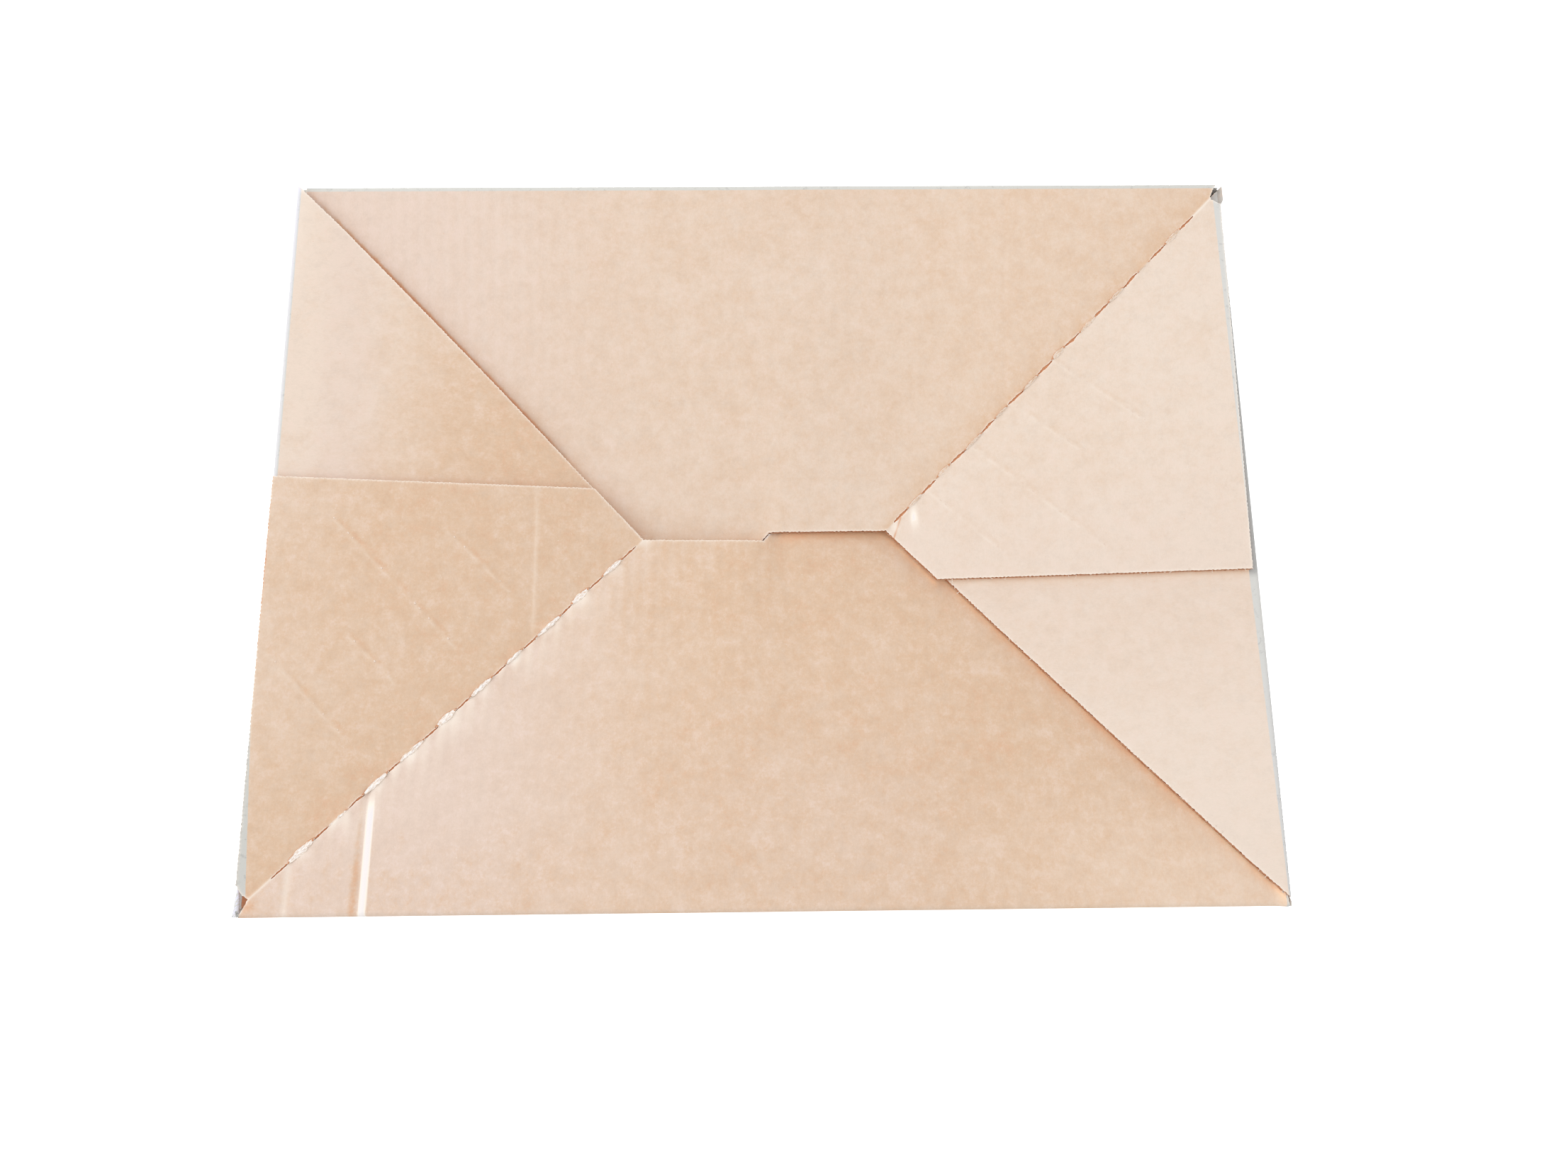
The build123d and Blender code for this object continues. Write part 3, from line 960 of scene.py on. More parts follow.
def lip_tree():
    """Lifted paper on the bridges of a perforated fold: a pointed pillow between two torn rims.

    A dark line of painted shade runs along one side, and a hole lies at each end.
    """
    tree, make, given = new_tree(
        "lips along a perforated fold",
        Int="Count, Seed",
        Vector="First, Step",
        Rotation="Turn",
        Float="Length, Width, Rise, Rim, Crack, Crumple",
        Material="Pillow paper, Rim paper, Crack paper",
    )
    length, width, seed = given["Length"], given["Width"], given["Seed"]
    line = make.out(
        "GeometryNodeMeshLine",
        {"Count": given["Count"], "Start Location": given["First"], "Offset": given["Step"]},
    )
    stray = make.stray((-0.0003, -0.0003, -0.0001), (0.0003, 0.0003, 0.0001), seed)
    points = make.out("GeometryNodeSetPosition", {0: line, "Offset": stray})
    spot = make("ShaderNodeSeparateXYZ", {0: make.out("GeometryNodeInputPosition")}).outputs
    share = make.times(spot[0], 2.0)
    slim = make.math("SUBTRACT", 1.0, make.times(share, share))
    slim = make.math("SQRT", make.math("MAXIMUM", slim, 0.0))
    pointed = make.vector(spot[0], make.times(spot[1], slim), spot[2])
    lens = make.out("GeometryNodeSetPosition", {0: make.ball(28, 12), "Position": pointed})
    size = make.vector(length, width, given["Rise"])
    pillow = make.out("GeometryNodeTransform", {0: lens, "Scale": size})
    parts = [numbered(make, pillow, 0.0)]
    low_rise = make.times(given["Rise"], 0.40)
    # Two rims, then the line of painted shade outside one of them.
    for side, reach, height, thick, number in (
        (0.95, 0.52, low_rise, given["Rim"], 1.0),
        (-0.95, 0.52, low_rise, given["Rim"], 1.0),
        (1.05, 0.58, 0.0, given["Crack"], 2.0),
    ):
        half = make.times(length, reach)
        bow = make.vector(0.0, make.times(width, side), height)
        arc = make.arc(14, make.vector(make.times(half, -1.0)), bow, make.vector(half))
        parts.append(numbered(make, make.tube(arc, make.bead(6, thick)), number))
    dot = make.ball(10, 6)
    for side in (0.46, -0.46):
        values = {
            0: dot,
            "Translation": make.vector(make.times(length, side), 0.0, low_rise),
            "Scale": (0.0012, 0.0006, 0.0005),
        }
        parts.append(numbered(make, make.out("GeometryNodeTransform", values), 2.0))
    join = make("GeometryNodeJoinGeometry")
    for part in parts:
        tree.links.new(part, join.inputs[0])
    scale = make.stray((0.72, 0.40, 0.6), (1.10, 1.20, 1.3), seed)
    placed = make.copies(points, join.outputs[0], given["Turn"], scale)
    real = make.out("GeometryNodeRealizeInstances", {0: placed})
    crumple = make("ShaderNodeTexNoise", {"Scale": 700.0, "Detail": 3.0}).outputs[1]
    centred = make.vectors("SUBTRACT", crumple, (0.5, 0.5, 0.5))
    push = make.scaled(centred, given["Crumple"])
    moved = make.out("GeometryNodeSetPosition", {0: real, "Offset": push})
    papers = [given[kind + " paper"] for kind in ("Pillow", "Rim", "Crack")]
    end_tree(make, moved, *papers)
    return tree


def fibre_tree():
    """Short torn paper fibres scattered along a cut edge."""
    tree, make, given = new_tree(
        "fibres along an edge", Float="Spacing, Length, Thickness", Int="Seed", Material="Material"
    )
    side = make.times(given["Length"], 0.45)
    end = make.vector(given["Length"], side)
    hair = make.arc(5, (0, 0, 0), make.vector(side, 0.0, side), end)
    tube = make.tube(hair, make.bead(4, given["Thickness"]))
    turn = make.stray((-0.5, -0.3, 0.0), (0.5, 0.5, 2 * pi), given["Seed"])
    size = make.chance(0.2, 1.2, given["Seed"])
    placed = make.copies(make.spaced(given), tube, turn, size)
    end_tree(make, placed, given["Material"])
    return tree


def dash_tree():
    """Broken dashes where a glue bead under the board shows through."""
    tree, make, given = new_tree(
        "dashes along a glue bead",
        Float="Spacing, Length, Width, Rise, Kept, Angle",
        Int="Seed",
        Material="Material",
    )
    size = make.vector(given["Length"], given["Width"], given["Rise"])
    flat = make.out("GeometryNodeTransform", {0: make.ball(10, 6), "Scale": size})
    kept = make.math("LESS_THAN", make.chance(0.0, 1.0, given["Seed"]), given["Kept"])
    vary = make.stray((0.4, 0.5, 0.5), (1.5, 1.2, 1.2), given["Seed"])
    turn = make.vector(0.0, 0.0, given["Angle"])
    placed = make.copies(make.spaced(given), flat, turn, vary, Selection=kept)
    end_tree(make, placed, given["Material"])
    return tree


def line_mesh(name, lines, runs=None, lifts=None):
    """A mesh of open runs of edges, for a tree to follow, with how far and which way it waves."""
    vertices, edges = [], []
    for line in lines:
        start = len(vertices)
        vertices += [tuple(map(float, p)) for p in line]
        edges += [(start + i, start + i + 1) for i in range(len(line) - 1)]
    mesh = bpy.data.meshes.new(name)
    mesh.from_pydata(vertices, edges, [])
    if runs is not None:
        write_attribute(mesh, "run", np.concatenate(runs))
        layer = mesh.attributes.new("lift", "FLOAT_VECTOR", "POINT")
        layer.data.foreach_set("vector", np.vstack(lifts).astype(np.float32).ravel())
    return mesh


def grow(name, base, tree, values):
    """An object whose plain mesh is what a tree makes of a base mesh."""
    obj = place(name, base)
    modifier = obj.modifiers.new("Growth", "NODES")
    modifier.node_group = tree
    known = {
        item.name: item.identifier
        for item in tree.interface.items_tree
        if item.item_type == "SOCKET" and item.in_out == "INPUT"
    }
    for socket, value in values.items():
        modifier[known[socket]] = value
    bpy.context.view_layer.update()
    graph = bpy.context.evaluated_depsgraph_get()
    result = bpy.data.meshes.new_from_object(obj.evaluated_get(graph), depsgraph=graph)
    obj.modifiers.clear()
    obj.data = result
    result.name = name
    if not len(result.polygons):
        raise RuntimeError(f"{name} came out empty")
    return obj


# Faces of the panels


def valley(x, y, x0, lean, y_from, y_to, depth, left, right):
    """A shallow crease pressed into a panel, steeper on its right side."""
    middle = x0 + lean * (y - y_from)
    gap = x - middle
    share = np.where(gap < 0, 1 + gap / left, 1 - gap / right)
    share = np.clip(share, 0, 1)
    share = share * share * (3 - 2 * share)
    low_y, high_y = min(y_from, y_to), max(y_from, y_to)
    fade = (
        np.clip((y - low_y) / (6 * MM) + 0.5, 0, 1) * np.clip((high_y - y) / (6 * MM) + 0.5, 0, 1)
    )
    return -depth * share * fade


def fold_relief(c, board, x, y, wide, rise, ragged):
    """The beads that the perforated diagonal fold raises between its cuts."""
    along, across = c.diagonal(x, y)
    run, pitch = perforation(c, board)[:2]
    step = np.mod(along - board.slit_start - board.slit, pitch) / board.bridge
    on_bridge = (along > board.slit_start) & (along < run) & (step < 1)
    swell = np.where(on_bridge, np.sin(pi * np.clip(step, 0, 1)), 0)
    plain = np.clip(1 - np.abs(along - board.slit_start / 2) / (board.slit_start / 2), 0, 1) ** 0.4
    bead = rise * swell * np.clip(1 - (across / (wide / 2)) ** 2, 0, 1)
    bead += 0.35 * rise * plain * np.clip(1 - (across / (0.8 * MM)) ** 2, 0, 1)
    lift = ragged * np.exp(-np.abs(across) / (7 * MM)) * (along > board.slit_start) * (along < run)
    lumps = ripple(x, y, 9 * MM, board.seed) * 0.5 + ripple(x, y, 4 * MM, board.seed + 1) * 0.3
    return bead + lift * lumps


def ridge(x, y, beads):
    """The low, broken ridges that glue beads raise through the board."""
    total = 0 * x
    for x0, y0, x1, y1 in beads:
        swell = beside(x, y, ((x0, y0), (x1, y1)), ((1, 1.3, 2),))
        total += 0.13 * MM * swell * np.clip(0.6 + 0.7 * ripple(x, y, 9 * MM, 33), 0, 1)
    return total


def far_face(c, board, hook, valleys, ragged, lip, turned):
    """Height of the far flap with its tab. Turned half round, it is the near flap."""
    sign = -1 if turned else 1

    def face(wx, wy, fine):
        x, y = sign * wx, sign * wy
        z = np.maximum(c.panel_face(x, y, hook), c.side_face(x, y) + c.sizes.board)
        z = z - c.round_off(c.half_width - y)
        if fine:
            z += fold_relief(c, board, x, y, lip, 0.35 * MM, ragged)
            z += board.washboard * np.sin(2 * pi * wx / board.flute)
            z += ridge(wx, wy, NEAR_BEADS if turned else FAR_BEADS)
            for settings in valleys:
                z += valley(wx, wy, *settings)
        return np.minimum(z, high.z - 0.02 * MM)

    return face


def side_face(c, board, turned):
    """Height of the right flap. Turned half round, it is the left flap."""
    sign = -1 if turned else 1

    def face(wx, wy, fine):
        x, y = sign * wx, sign * wy
        z = c.side_face(x, y) - c.round_off(c.half_length - x)
        if fine:
            z += board.washboard * np.sin(2 * pi * wy / board.flute)
        return z

    return face


def rise(value, start, end):
    """0 before start, 1 after end, smooth between."""
    share = np.clip((value - start) / (end - start), 0, 1)
    return share * share * (3 - 2 * share)


def beside(x, y, line, parts, fade=None):
    """Extra tone beside another board's edge, which may fade out between two shares of the line.

    Each part has a strength, a reach in millimetres and a power.
    """
    # The falloff is used mostly for painted shade or painted light beside the edge.
    (ax, ay), (bx, by) = (np.array(p) * MM for p in line)
    share = np.clip(
        ((x - ax) * (bx - ax) + (y - ay) * (by - ay)) / ((bx - ax) ** 2 + (by - ay) ** 2), 0, 1
    )
    gap = np.hypot(x - ax - share * (bx - ax), y - ay - share * (by - ay))
    total = sum(
        strength * np.exp(-((gap / (reach * MM)) ** power)) for strength, reach, power in parts
    )
    return total * (1 - 0.92 * rise(share, *fade)) if fade else total


def beads_look(x, y, beads):
    """Where glue beads under the board show through: painted shade on the right, highlight on the
    left.
    """
    tone, tint = 0 * x, 0 * x
    for x0, y0, x1, y1 in beads:
        broken = np.clip(0.55 + 0.6 * ripple(x, y, 7 * MM, 21), 0, 1)
        tone += (
            0.30 * beside(x, y, ((x0 + 0.9, y0 + 0.9), (x1 + 0.9, y1 + 0.9)), ((1, 1.1, 2),))
            * broken
        )
        tint += (
            0.20 * beside(x, y, ((x0 - 0.5, y0 - 0.5), (x1 - 0.5, y1 - 0.5)), ((1, 0.8, 2),))
            * broken
        )
    return tone, tint


def spot(x, y, place_x, place_y, wide, tall):
    """A soft patch, with its place and reach in millimetres."""
    return np.exp(-(((x / MM - place_x) / wide) ** 2) - ((y / MM - place_y) / tall) ** 2)


def plain_fold(along, across, start):
    """The pale line along a diagonal fold before its first cut."""
    return (
        np.exp(-((across / (0.55 * MM)) ** 2)) * rise(along, 4 * MM, 8 * MM)
        * (1 - rise(along, start, start + MM))
    )


def far_look(c):
    """Far flap and tab: tone, coolness, paleness, flutes, dimness, and painted shade and light."""

    def look(x, y):
        along, across = c.diagonal(x, y)
        on_tab = rise(across, -0.3 * MM, 0.3 * MM)
        in_fold = (along > 0) * (along < 240 * MM)
        tone = 0.22 + 0.22 * rise(x, -0.20, -0.06) + 0.10 * rise(x, 0.03, 0.12)
        # Painted shade beside the left flap's edge, widest midway, and beside the near flap's edge
        # at the middle.
        tone += beside(
            x, y, ((-223.4, 170.3), (-57.3, -2.1)), ((1.5, 1.2, 2), (0.6, 6.0, 1)), (0.62, 0.85)
        ) * rise(x, -0.255, -0.16)
        tone += beside(x, y, ((-57, -1.8), (-3, -1.8)), ((0.3, 5.0, 1),))
        # Painted shade along the diagonal fold.
        tone += 0.48 * np.exp(-np.abs(across) / (4 * MM)) * in_fold
        # Painted shade and light in stripes along the flutes.
        tone += (
            0.10 * np.sin(2 * pi * x / (FLUTE * MM)) * (1 - rise(x, -0.15, -0.05))
            * rise(y, 0.02, 0.10)
        )
        tab_tone = 0.20 - 0.10 * rise(x, 0.12, 0.21) - 0.08 * rise(-y, -0.02, 0.02)
        # A small facet by the apex ends in a fine crease.
        tab_tone += beside(x, y, ((61.8, -2.0), (66.6, 12.0)), ((2.2, 0.42, 2),))
        tone = tone * (1 - on_tab) + on_tab * tab_tone
        # Painted warm light at the base of the near flap's and the left flap's edges, and a little
        # over the right of the panel.
        foot = (
            beside(x, y, ((-57, -1.8), (-3, -1.8)), ((0.5, 1.8, 1),))
            + 0.09 * rise(x, 0.03, 0.12) * (1 - on_tab)
        )
        foot += beside(x, y, ((-95, 37.2), (-57, -1.8)), ((0.4, 1.8, 1),))
        cool = (
            0.70 * (1 - rise(x, -0.20, -0.03)) * (1 - on_tab)
            + 0.25 * on_tab * rise(-y, -0.05, 0.02)
        )
        tint = 0.75 * plain_fold(along, across, 21 * MM) + 0.12 * on_tab
        tint += 1.3 * spot(x, y, 71.5, 8, 1.6, 4.5) + 0.5 * spot(x, y, 62.5, 4, 1.8, 3.0) * on_tab
        bead_shade, bead_highlight = beads_look(x, y, FAR_BEADS)
        flutes = 0.12 + 0.45 * (1 - rise(x, -0.16, -0.08)) * rise(y, 0.04, 0.12) * (1 - on_tab)
        # Painted shade on the print strip by the far left corner.
        dim = 0.5 * (1 - rise(x, -0.2215, -0.206)) * rise(y, 0.168, 0.1695)
        return {
            "tone": tone + bead_shade, "cool": cool, "tint": tint + bead_highlight,
            "flutes": flutes, "dim": dim, "foot": foot,
        }

    return look


def near_look(c):
    """Near flap and tab: tone, coolness, paleness, flutes, dimness, and painted shade and light."""

    def look(x, y):
        along, across = c.diagonal(-x, -y)
        on_tab = rise(across, -0.3 * MM, 0.3 * MM)
        in_fold = (along > 0) * (along < 240 * MM)
        low_right = rise(x, 0.05, 0.21) * rise(-y, 0.10, 0.155)
        tone = 0.52 + 0.40 * rise(x, -0.15, 0.0) - 0.36 * low_right
        # Painted shade beside the edges of the right flap and of the far flap and its tab.
        over = ((62.7, 1.5), (223.6, -166.2)), ((4, 1.8), (58, 1.8)), ((58, 1.8), (81, -22.8))
        tone += beside(x, y, over[0], ((0.10, 1.0, 1),)) + beside(x, y, over[2], ((0.10, 1.0, 1),))
        tone += beside(x, y, over[1], ((0.35, 1.3, 1),)) * rise(x, 0.002, 0.03)
        # Painted warm light at the base of the same edges, and a little at the lower right.
        foot = (
            beside(x, y, over[0], ((1.2, 1.5, 1),)) + beside(x, y, over[2], ((1.1, 1.5, 1),))
            + 0.12 * low_right
        )
        foot += beside(x, y, over[1], ((1.15, 2.4, 1),)) * rise(x, 0.002, 0.012)
        # Beside the main crease at the corner: painted shade on its left, then a painted highlight
        # on its right.
        crease = x / MM + 172.6 + 0.03 * (y / MM + 170)
        low = 1 - rise(y, -0.128, -0.116)
        tone += 0.42 * np.exp(-(((crease + 2.2) / 1.6) ** 2)) * low
        tone += 0.40 * rise(-y, 0.125, 0.160) * (1 - rise(x, -0.120, -0.06)) * (1 - on_tab)
        tone += 0.5 * spot(x, y, -219.5, -166, 4, 5) * (1 - on_tab)
        shore = np.exp(-np.clip(-across, 0, 1) / (30 * MM)) * (1 - on_tab) * rise(along, 0.02, 0.06)
        # Painted shade and light in stripes along the flutes, near the fold.
        tone += 0.16 * np.sin(2 * pi * x / (FLUTE * MM)) * shore
        tab_tone = 0.70 + 0.22 * rise(x, -0.225, -0.165) + 0.16 * np.exp(-np.abs(across) / (6 * MM))
        tab_tone += 0.18 * (1 - rise(y, -0.14, -0.09))
        tab_tone += beside(x, y, ((-60, -4.5), (-63.5, -11.5)), ((1.4, 0.42, 2),))
        # Painted shade along the tab's outer edge.
        side = x + c.half_length - 0.8 * MM - 0.9 * MM * rise(y, -0.16, 0.02)
        tab_tone += 1.0 * (1 - rise(side, 0.3 * MM, 1.0 * MM)) * rise(y, -0.12, -0.04)
        tone = tone * (1 - on_tab) + on_tab * tab_tone
        cool = 0.75 * (1 - rise(x, -0.15, -0.03)) * (1 - on_tab)
        cool += (
            0.25 * rise(-y, 0.05, 0.13) * rise(x, -0.10, -0.02) * (1 - rise(x, 0.05, 0.12))
            * (1 - on_tab)
        )
        # Pale beside the fold's bridges, and a painted highlight in stripes along the flutes close
        # to the fold.
        close = np.exp(-np.clip(-across, 0, 1) / (8 * MM)) * (1 - on_tab) * in_fold
        stripes = np.clip(
            0.45 + 0.5 * np.sin(2 * pi * x / FLUTE / MM) + 0.9 * ripple(x, y, 24 * MM, 8), 0, 1
        )
        step = np.mod(along - 31 * MM, 20 * MM) / (10 * MM)
        bridge = np.where(step < 1, np.sin(pi * step), 0) * (along > 30 * MM) * (1 - on_tab)
        tint = (
            0.85 * bridge * np.exp(-np.clip(-across, 0, 1) / (2.6 * MM))
            + 0.55 * close * stripes * rise(along, 0.03, 0.06) * (1 - rise(along, 0.18, 0.22))
        )
        # Painted highlights on the right side of the creases pressed into the flap and its tab.
        tint += 1.40 * np.exp(-(((crease - 1.9) / 1.7) ** 8)) * low
        tint += 0.40 * np.exp(-(((crease + 30.7) / 1.5) ** 2)) * (1 - rise(y, -0.150, -0.142))
        tint += 0.6 * plain_fold(along, across, 21 * MM)
        tint += 0.22 * np.exp(-(((x / MM + 107.3) / 0.9) ** 2)) * rise(y, -0.05, -0.04) * on_tab
        bead_shade, bead_highlight = beads_look(x, y, NEAR_BEADS)
        # The print is dimmed by painted shade, most along the tab's outer edge. No print shows on
        # the near flap's own left end.
        dim = 0.15 + 0.6 * (1 - rise(side, 0.2 * MM, 0.9 * MM)) + 2.0 * (1 - on_tab) * (x < -0.2)
        flutes = 0.15 + 0.85 * shore
        return {
            "tone": tone + bead_shade, "cool": cool, "tint": np.clip(tint, 0, 2) + bead_highlight,
            "flutes": flutes, "dim": dim, "foot": foot,
        }

    return look


def right_look(x, y):
    """Right flap: tone, coolness, paleness, flutes, dimness, and painted shade and light."""
    over = ((80, -22.8), (222.3, -22.8))
    # Painted shade beside the end of the far flap's tab.
    tone = 0.18 - 0.18 * rise(-y, 0.05, 0.14) + beside(x, y, over, ((0.4, 0.9, 1),))
    # Painted shade on the print: under the tab's edge, in the corner quarter and along the right
    # edge.
    under = 0.62 * rise(y, -0.027, -0.022) * (1 - rise(y, 0.135, 0.158))
    quarter = 0.15 + 0.6 * (1 - rise(x, 0.2185, 0.2225)) + 0.25 * rise(y, 0.164, 0.168)
    dim = (
        under + quarter * rise(y, 0.150, 0.158)
        + 0.8 * rise(x, 0.2243, 0.2247) * rise(-y, 0.06, 0.08)
    )
    return {
        "tone": tone, "cool": 0.2 + 0 * x, "tint": 0.08 + 0.14 * rise(-y, 0.03, 0.12),
        "flutes": 0.1 + 0 * x, "dim": np.clip(dim, 0, 1),
        # Painted warm light below the tab's end.
        "foot": beside(x, y, over, ((0.9, 1.6, 1),)),
    }


def left_look(x, y):
    """Left flap: tone, coolness, paleness, flutes and dimness, with a painted dark spot in its
    notch.
    """
    # Painted shade: a dark spot in the notch at the near left corner.
    tone = (
        0.02 + 0.98 * rise(x + 0.22 * (0.06 - y), -0.222, -0.118)
        + 3.5 * spot(x, y, -220.0, -162.5, 4, 5)
    )
    cool = 0.4 * rise(x, -0.215, -0.20) * (1 - rise(x, -0.195, -0.172))
    tint = 0.25 * (1 - rise(x, -0.2245, -0.214)) * rise(y, 0.08, 0.16)
    tint += (
        (0.5 * (1 - rise(x, -0.2235, -0.2225)) + 0.4 * rise(y, 0.164, 0.166))
        * rise(y, -0.15, -0.14)
    )
    return {
        "tone": tone, "cool": cool, "tint": np.clip(tint, 0, 1),
        "flutes": 0.1 + 0 * x, "dim": 0 * x, "foot": 0 * x,
    }


def turned_outline(points, turned):
    """An outline, turned half round about the middle if asked."""
    return [(-x, -y) for x, y in points] if turned else list(points)


def edge_line(outline, face, from_index, to_index, inset, drop):
    """Points just inside one stretch of an outline, at the middle of the board."""
    outer = dense(outline, 1.0 * MM)
    out = outward(outer)
    corners = [int(np.argmin(np.hypot(*(outer - p).T))) for p in np.array(outline)]
    first, last = corners[from_index], corners[to_index]
    span = np.arange(first, last + 1 if last > first else last + 1 + len(outer)) % len(outer)
    spots = outer[span] - out[span] * inset
    z = face(spots[:, 0], spots[:, 1], False) - drop
    return np.c_[spots, z]


# Operators


class Piece:
    """What every operator shares."""

    bl_options = {"REGISTER", "UNDO"}


class MajorFlap(Piece):
    """What the far and near flaps share."""

    turned = False

    def build(self, context, name, paper, valleys, lip, ragged, look, notch, lean, bands):
        c, board = Carton(context.scene), context.scene.carton_board
        sign = -1 if self.turned else 1
        hook = c.flaps.hook_shift * sign
        outline = turned_outline(far_outline(c, hook, notch, lean), self.turned)
        width = board.left_slit if self.turned else board.right_slit
        slits = [loop * sign for loop in slit_loops(c, board, board.seed + sign, width)]
        face = far_face(c, board, hook, valleys, ragged, lip, self.turned)
        papers = paper_set(context.scene.carton_paper)

        def is_cut(x, y):
            return (sign * y < c.half_width - 1.0 * MM).astype(float)

        top_y = c.half_width - c.flaps.diagonal_start
        fold = (c.half_length, top_y, c.apex, c.flaps.setback)
        extra = [sign * band(*fold, 6 * MM, 1.0 * MM), sign * band(*fold, 0.5 * MM, 0.5 * MM)]
        xs = np.arange(-c.half_length + 4 * MM, c.half_length - 4 * MM, 2 * MM)
        for row in np.arange(0.3, 2.5, 0.35) * MM:
            extra.append(sign * np.c_[xs, np.full(len(xs), c.half_width - row)])
        beads = NEAR_BEADS if self.turned else FAR_BEADS
        for x0, y0, x1, y1, wide, step in bands + tuple((*bead, 3.2, 0.8) for bead in beads):
            extra.append(band(x0 * MM, y0 * MM, x1 * MM, y1 * MM, wide * MM, step * MM))
        finishes = [papers[key] for key in (paper, "inside", "cut", "slit")]
        mesh = board_sheet(
            name, outline, slits, face, c.sizes.board, is_cut, np.vstack(extra),
            (1.5 * MM, 4.5 * MM), finishes, look(c), board.slit_depth,
        )
        settle(place(name, mesh), True)
        edge = edge_line(outline, face, 2, 12, 0.42 * MM, c.sizes.board / 2)
        fluted_edge(context, name, edge, edge[:, 0])


class CARTON_OT_far_flap(Operator, MajorFlap):
    """Make the far flap with its glue tab and perforated fold"""

    bl_idname = "carton.far_flap"
    bl_label = "Far Flap"

    def execute(self, context):
        valleys = (
            (118 * MM, 0.01, 170 * MM, 62 * MM, 0.20 * MM, 2.5 * MM, 1.8 * MM),
            (170 * MM, 0.02, 170 * MM, 148 * MM, 0.08 * MM, 2.0 * MM, 1.6 * MM),
        )
        bands = (
            (-223, 168.5, -57, -1.5, 3.6, 0.6), (-222, 166, -57, 0, 14, 1.8),
            (118, 168, 117, 62, 3, 1.0), (61.8, -2, 66.6, 12, 1.2, 0.3),
        )
        lip = context.scene.carton_board.right_lip
        self.build(
            context, "far_flap", "far", valleys, lip, 0.10 * MM, far_look, FAR_NOTCH, 1.0, bands
        )
        return {"FINISHED"}


class CARTON_OT_near_flap(Operator, MajorFlap):
    """Make the near flap with its glue tab and perforated fold"""

    bl_idname = "carton.near_flap"
    bl_label = "Near Flap"
    turned = True

    def execute(self, context):
        valleys = (
            (-172.6 * MM, -0.03, -170 * MM, -117 * MM, 0.70 * MM, 4.0 * MM, 2.2 * MM),
            (-203.5 * MM, 0.05, -170 * MM, -148 * MM, 0.30 * MM, 3.0 * MM, 3.0 * MM),
            (-108.5 * MM, 0.0, -52 * MM, 14 * MM, 0.18 * MM, 2.5 * MM, 1.8 * MM),
            (225 * MM, 0.0, -176 * MM, -158 * MM, -2.4 * MM, 6 * MM, 6 * MM),
        )
        bands = (
            (63, 0, 224, -166, 3, 0.8), (63, 0, 224, -166, 9, 1.8), (8, 0, 58, 0, 5, 0.9),
            (58, 1, 80, -22, 5, 0.9), (-172, -168, -174, -118, 7, 0.7),
            (-203, -168, -202, -148, 4, 0.9), (-60, -4.5, -63.5, -11.5, 1.2, 0.3),
            (-108.5, -50, -108.5, 12, 3, 1.0),
        )
        lip = context.scene.carton_board.left_lip
        self.build(
            context, "near_flap", "near", valleys, lip, 0.22 * MM, near_look, NEAR_NOTCH, 0.68,
            bands
        )
        return {"FINISHED"}


class SideFlap(Piece):
    """What the right and left flaps share."""

    turned = False

    def build(self, context, name, paper, tip, look, start, end, bow=()):
        c, board = Carton(context.scene), context.scene.carton_board
        outline = turned_outline(side_outline(c, tip, start * MM, end * MM, bow), self.turned)
        face = side_face(c, board, self.turned)
        sign = -1 if self.turned else 1
        papers = paper_set(context.scene.carton_paper)

        def is_cut(x, y):
            return (sign * x < c.half_length - 0.8 * MM).astype(float)

        ys = np.arange(-c.half_width + 4 * MM, c.half_width - 1 * MM, 1.5 * MM)
        rows = [
            sign * np.c_[
                np.full(len(ys), c.half_length - r * MM), ys
            ] for r in np.arange(0.3, 3.5, 0.35)
        ]
        rows.append(sign * band(80 * MM, -24 * MM, 223 * MM, -24 * MM, 5 * MM, 0.9 * MM))
        rows.append(sign * band(219 * MM, -28 * MM, 219 * MM, 168 * MM, 6 * MM, 1.2 * MM))
        finishes = [papers[key] for key in (paper, "inside", "cut", "slit")]
        mesh = board_sheet(
            name, outline, [], face, c.sizes.board, is_cut, np.vstack(rows),
            (4.5 * MM, 1.5 * MM), finishes, look, 0,
        )
        settle(place(name, mesh), True)
        edge = edge_line(outline, face, 1, 5 + len(bow), 0.42 * MM, c.sizes.board / 2)
        fluted_edge(context, name, edge, edge[:, 1])


class CARTON_OT_right_flap(Operator, SideFlap):
    """Make the right side flap, which lies under the far flap's tab"""

    bl_idname = "carton.right_flap"
    bl_label = "Right Flap"

    def execute(self, context):
        tip = context.scene.carton_flaps.right_tip
        bow = ((0.30, 0.5), (0.60, 0.6), (0.90, 0.5))
        self.build(context, "right_flap", "right", tip, right_look, 1.7, 4.2, bow)
        return {"FINISHED"}


class CARTON_OT_left_flap(Operator, SideFlap):
    """Make the left side flap, which lies under the near flap's tab"""

    bl_idname = "carton.left_flap"
    bl_label = "Left Flap"
    turned = True

    def execute(self, context):
        tip = context.scene.carton_flaps.left_tip
        bow = ((0.12, -0.5), (0.30, 0.3), (0.45, 0.85), (0.65, 0.95), (0.88, 0.9))
        self.build(context, "left_flap", "left", tip, left_look, 2.4, 1.4, bow)
        return {"FINISHED"}


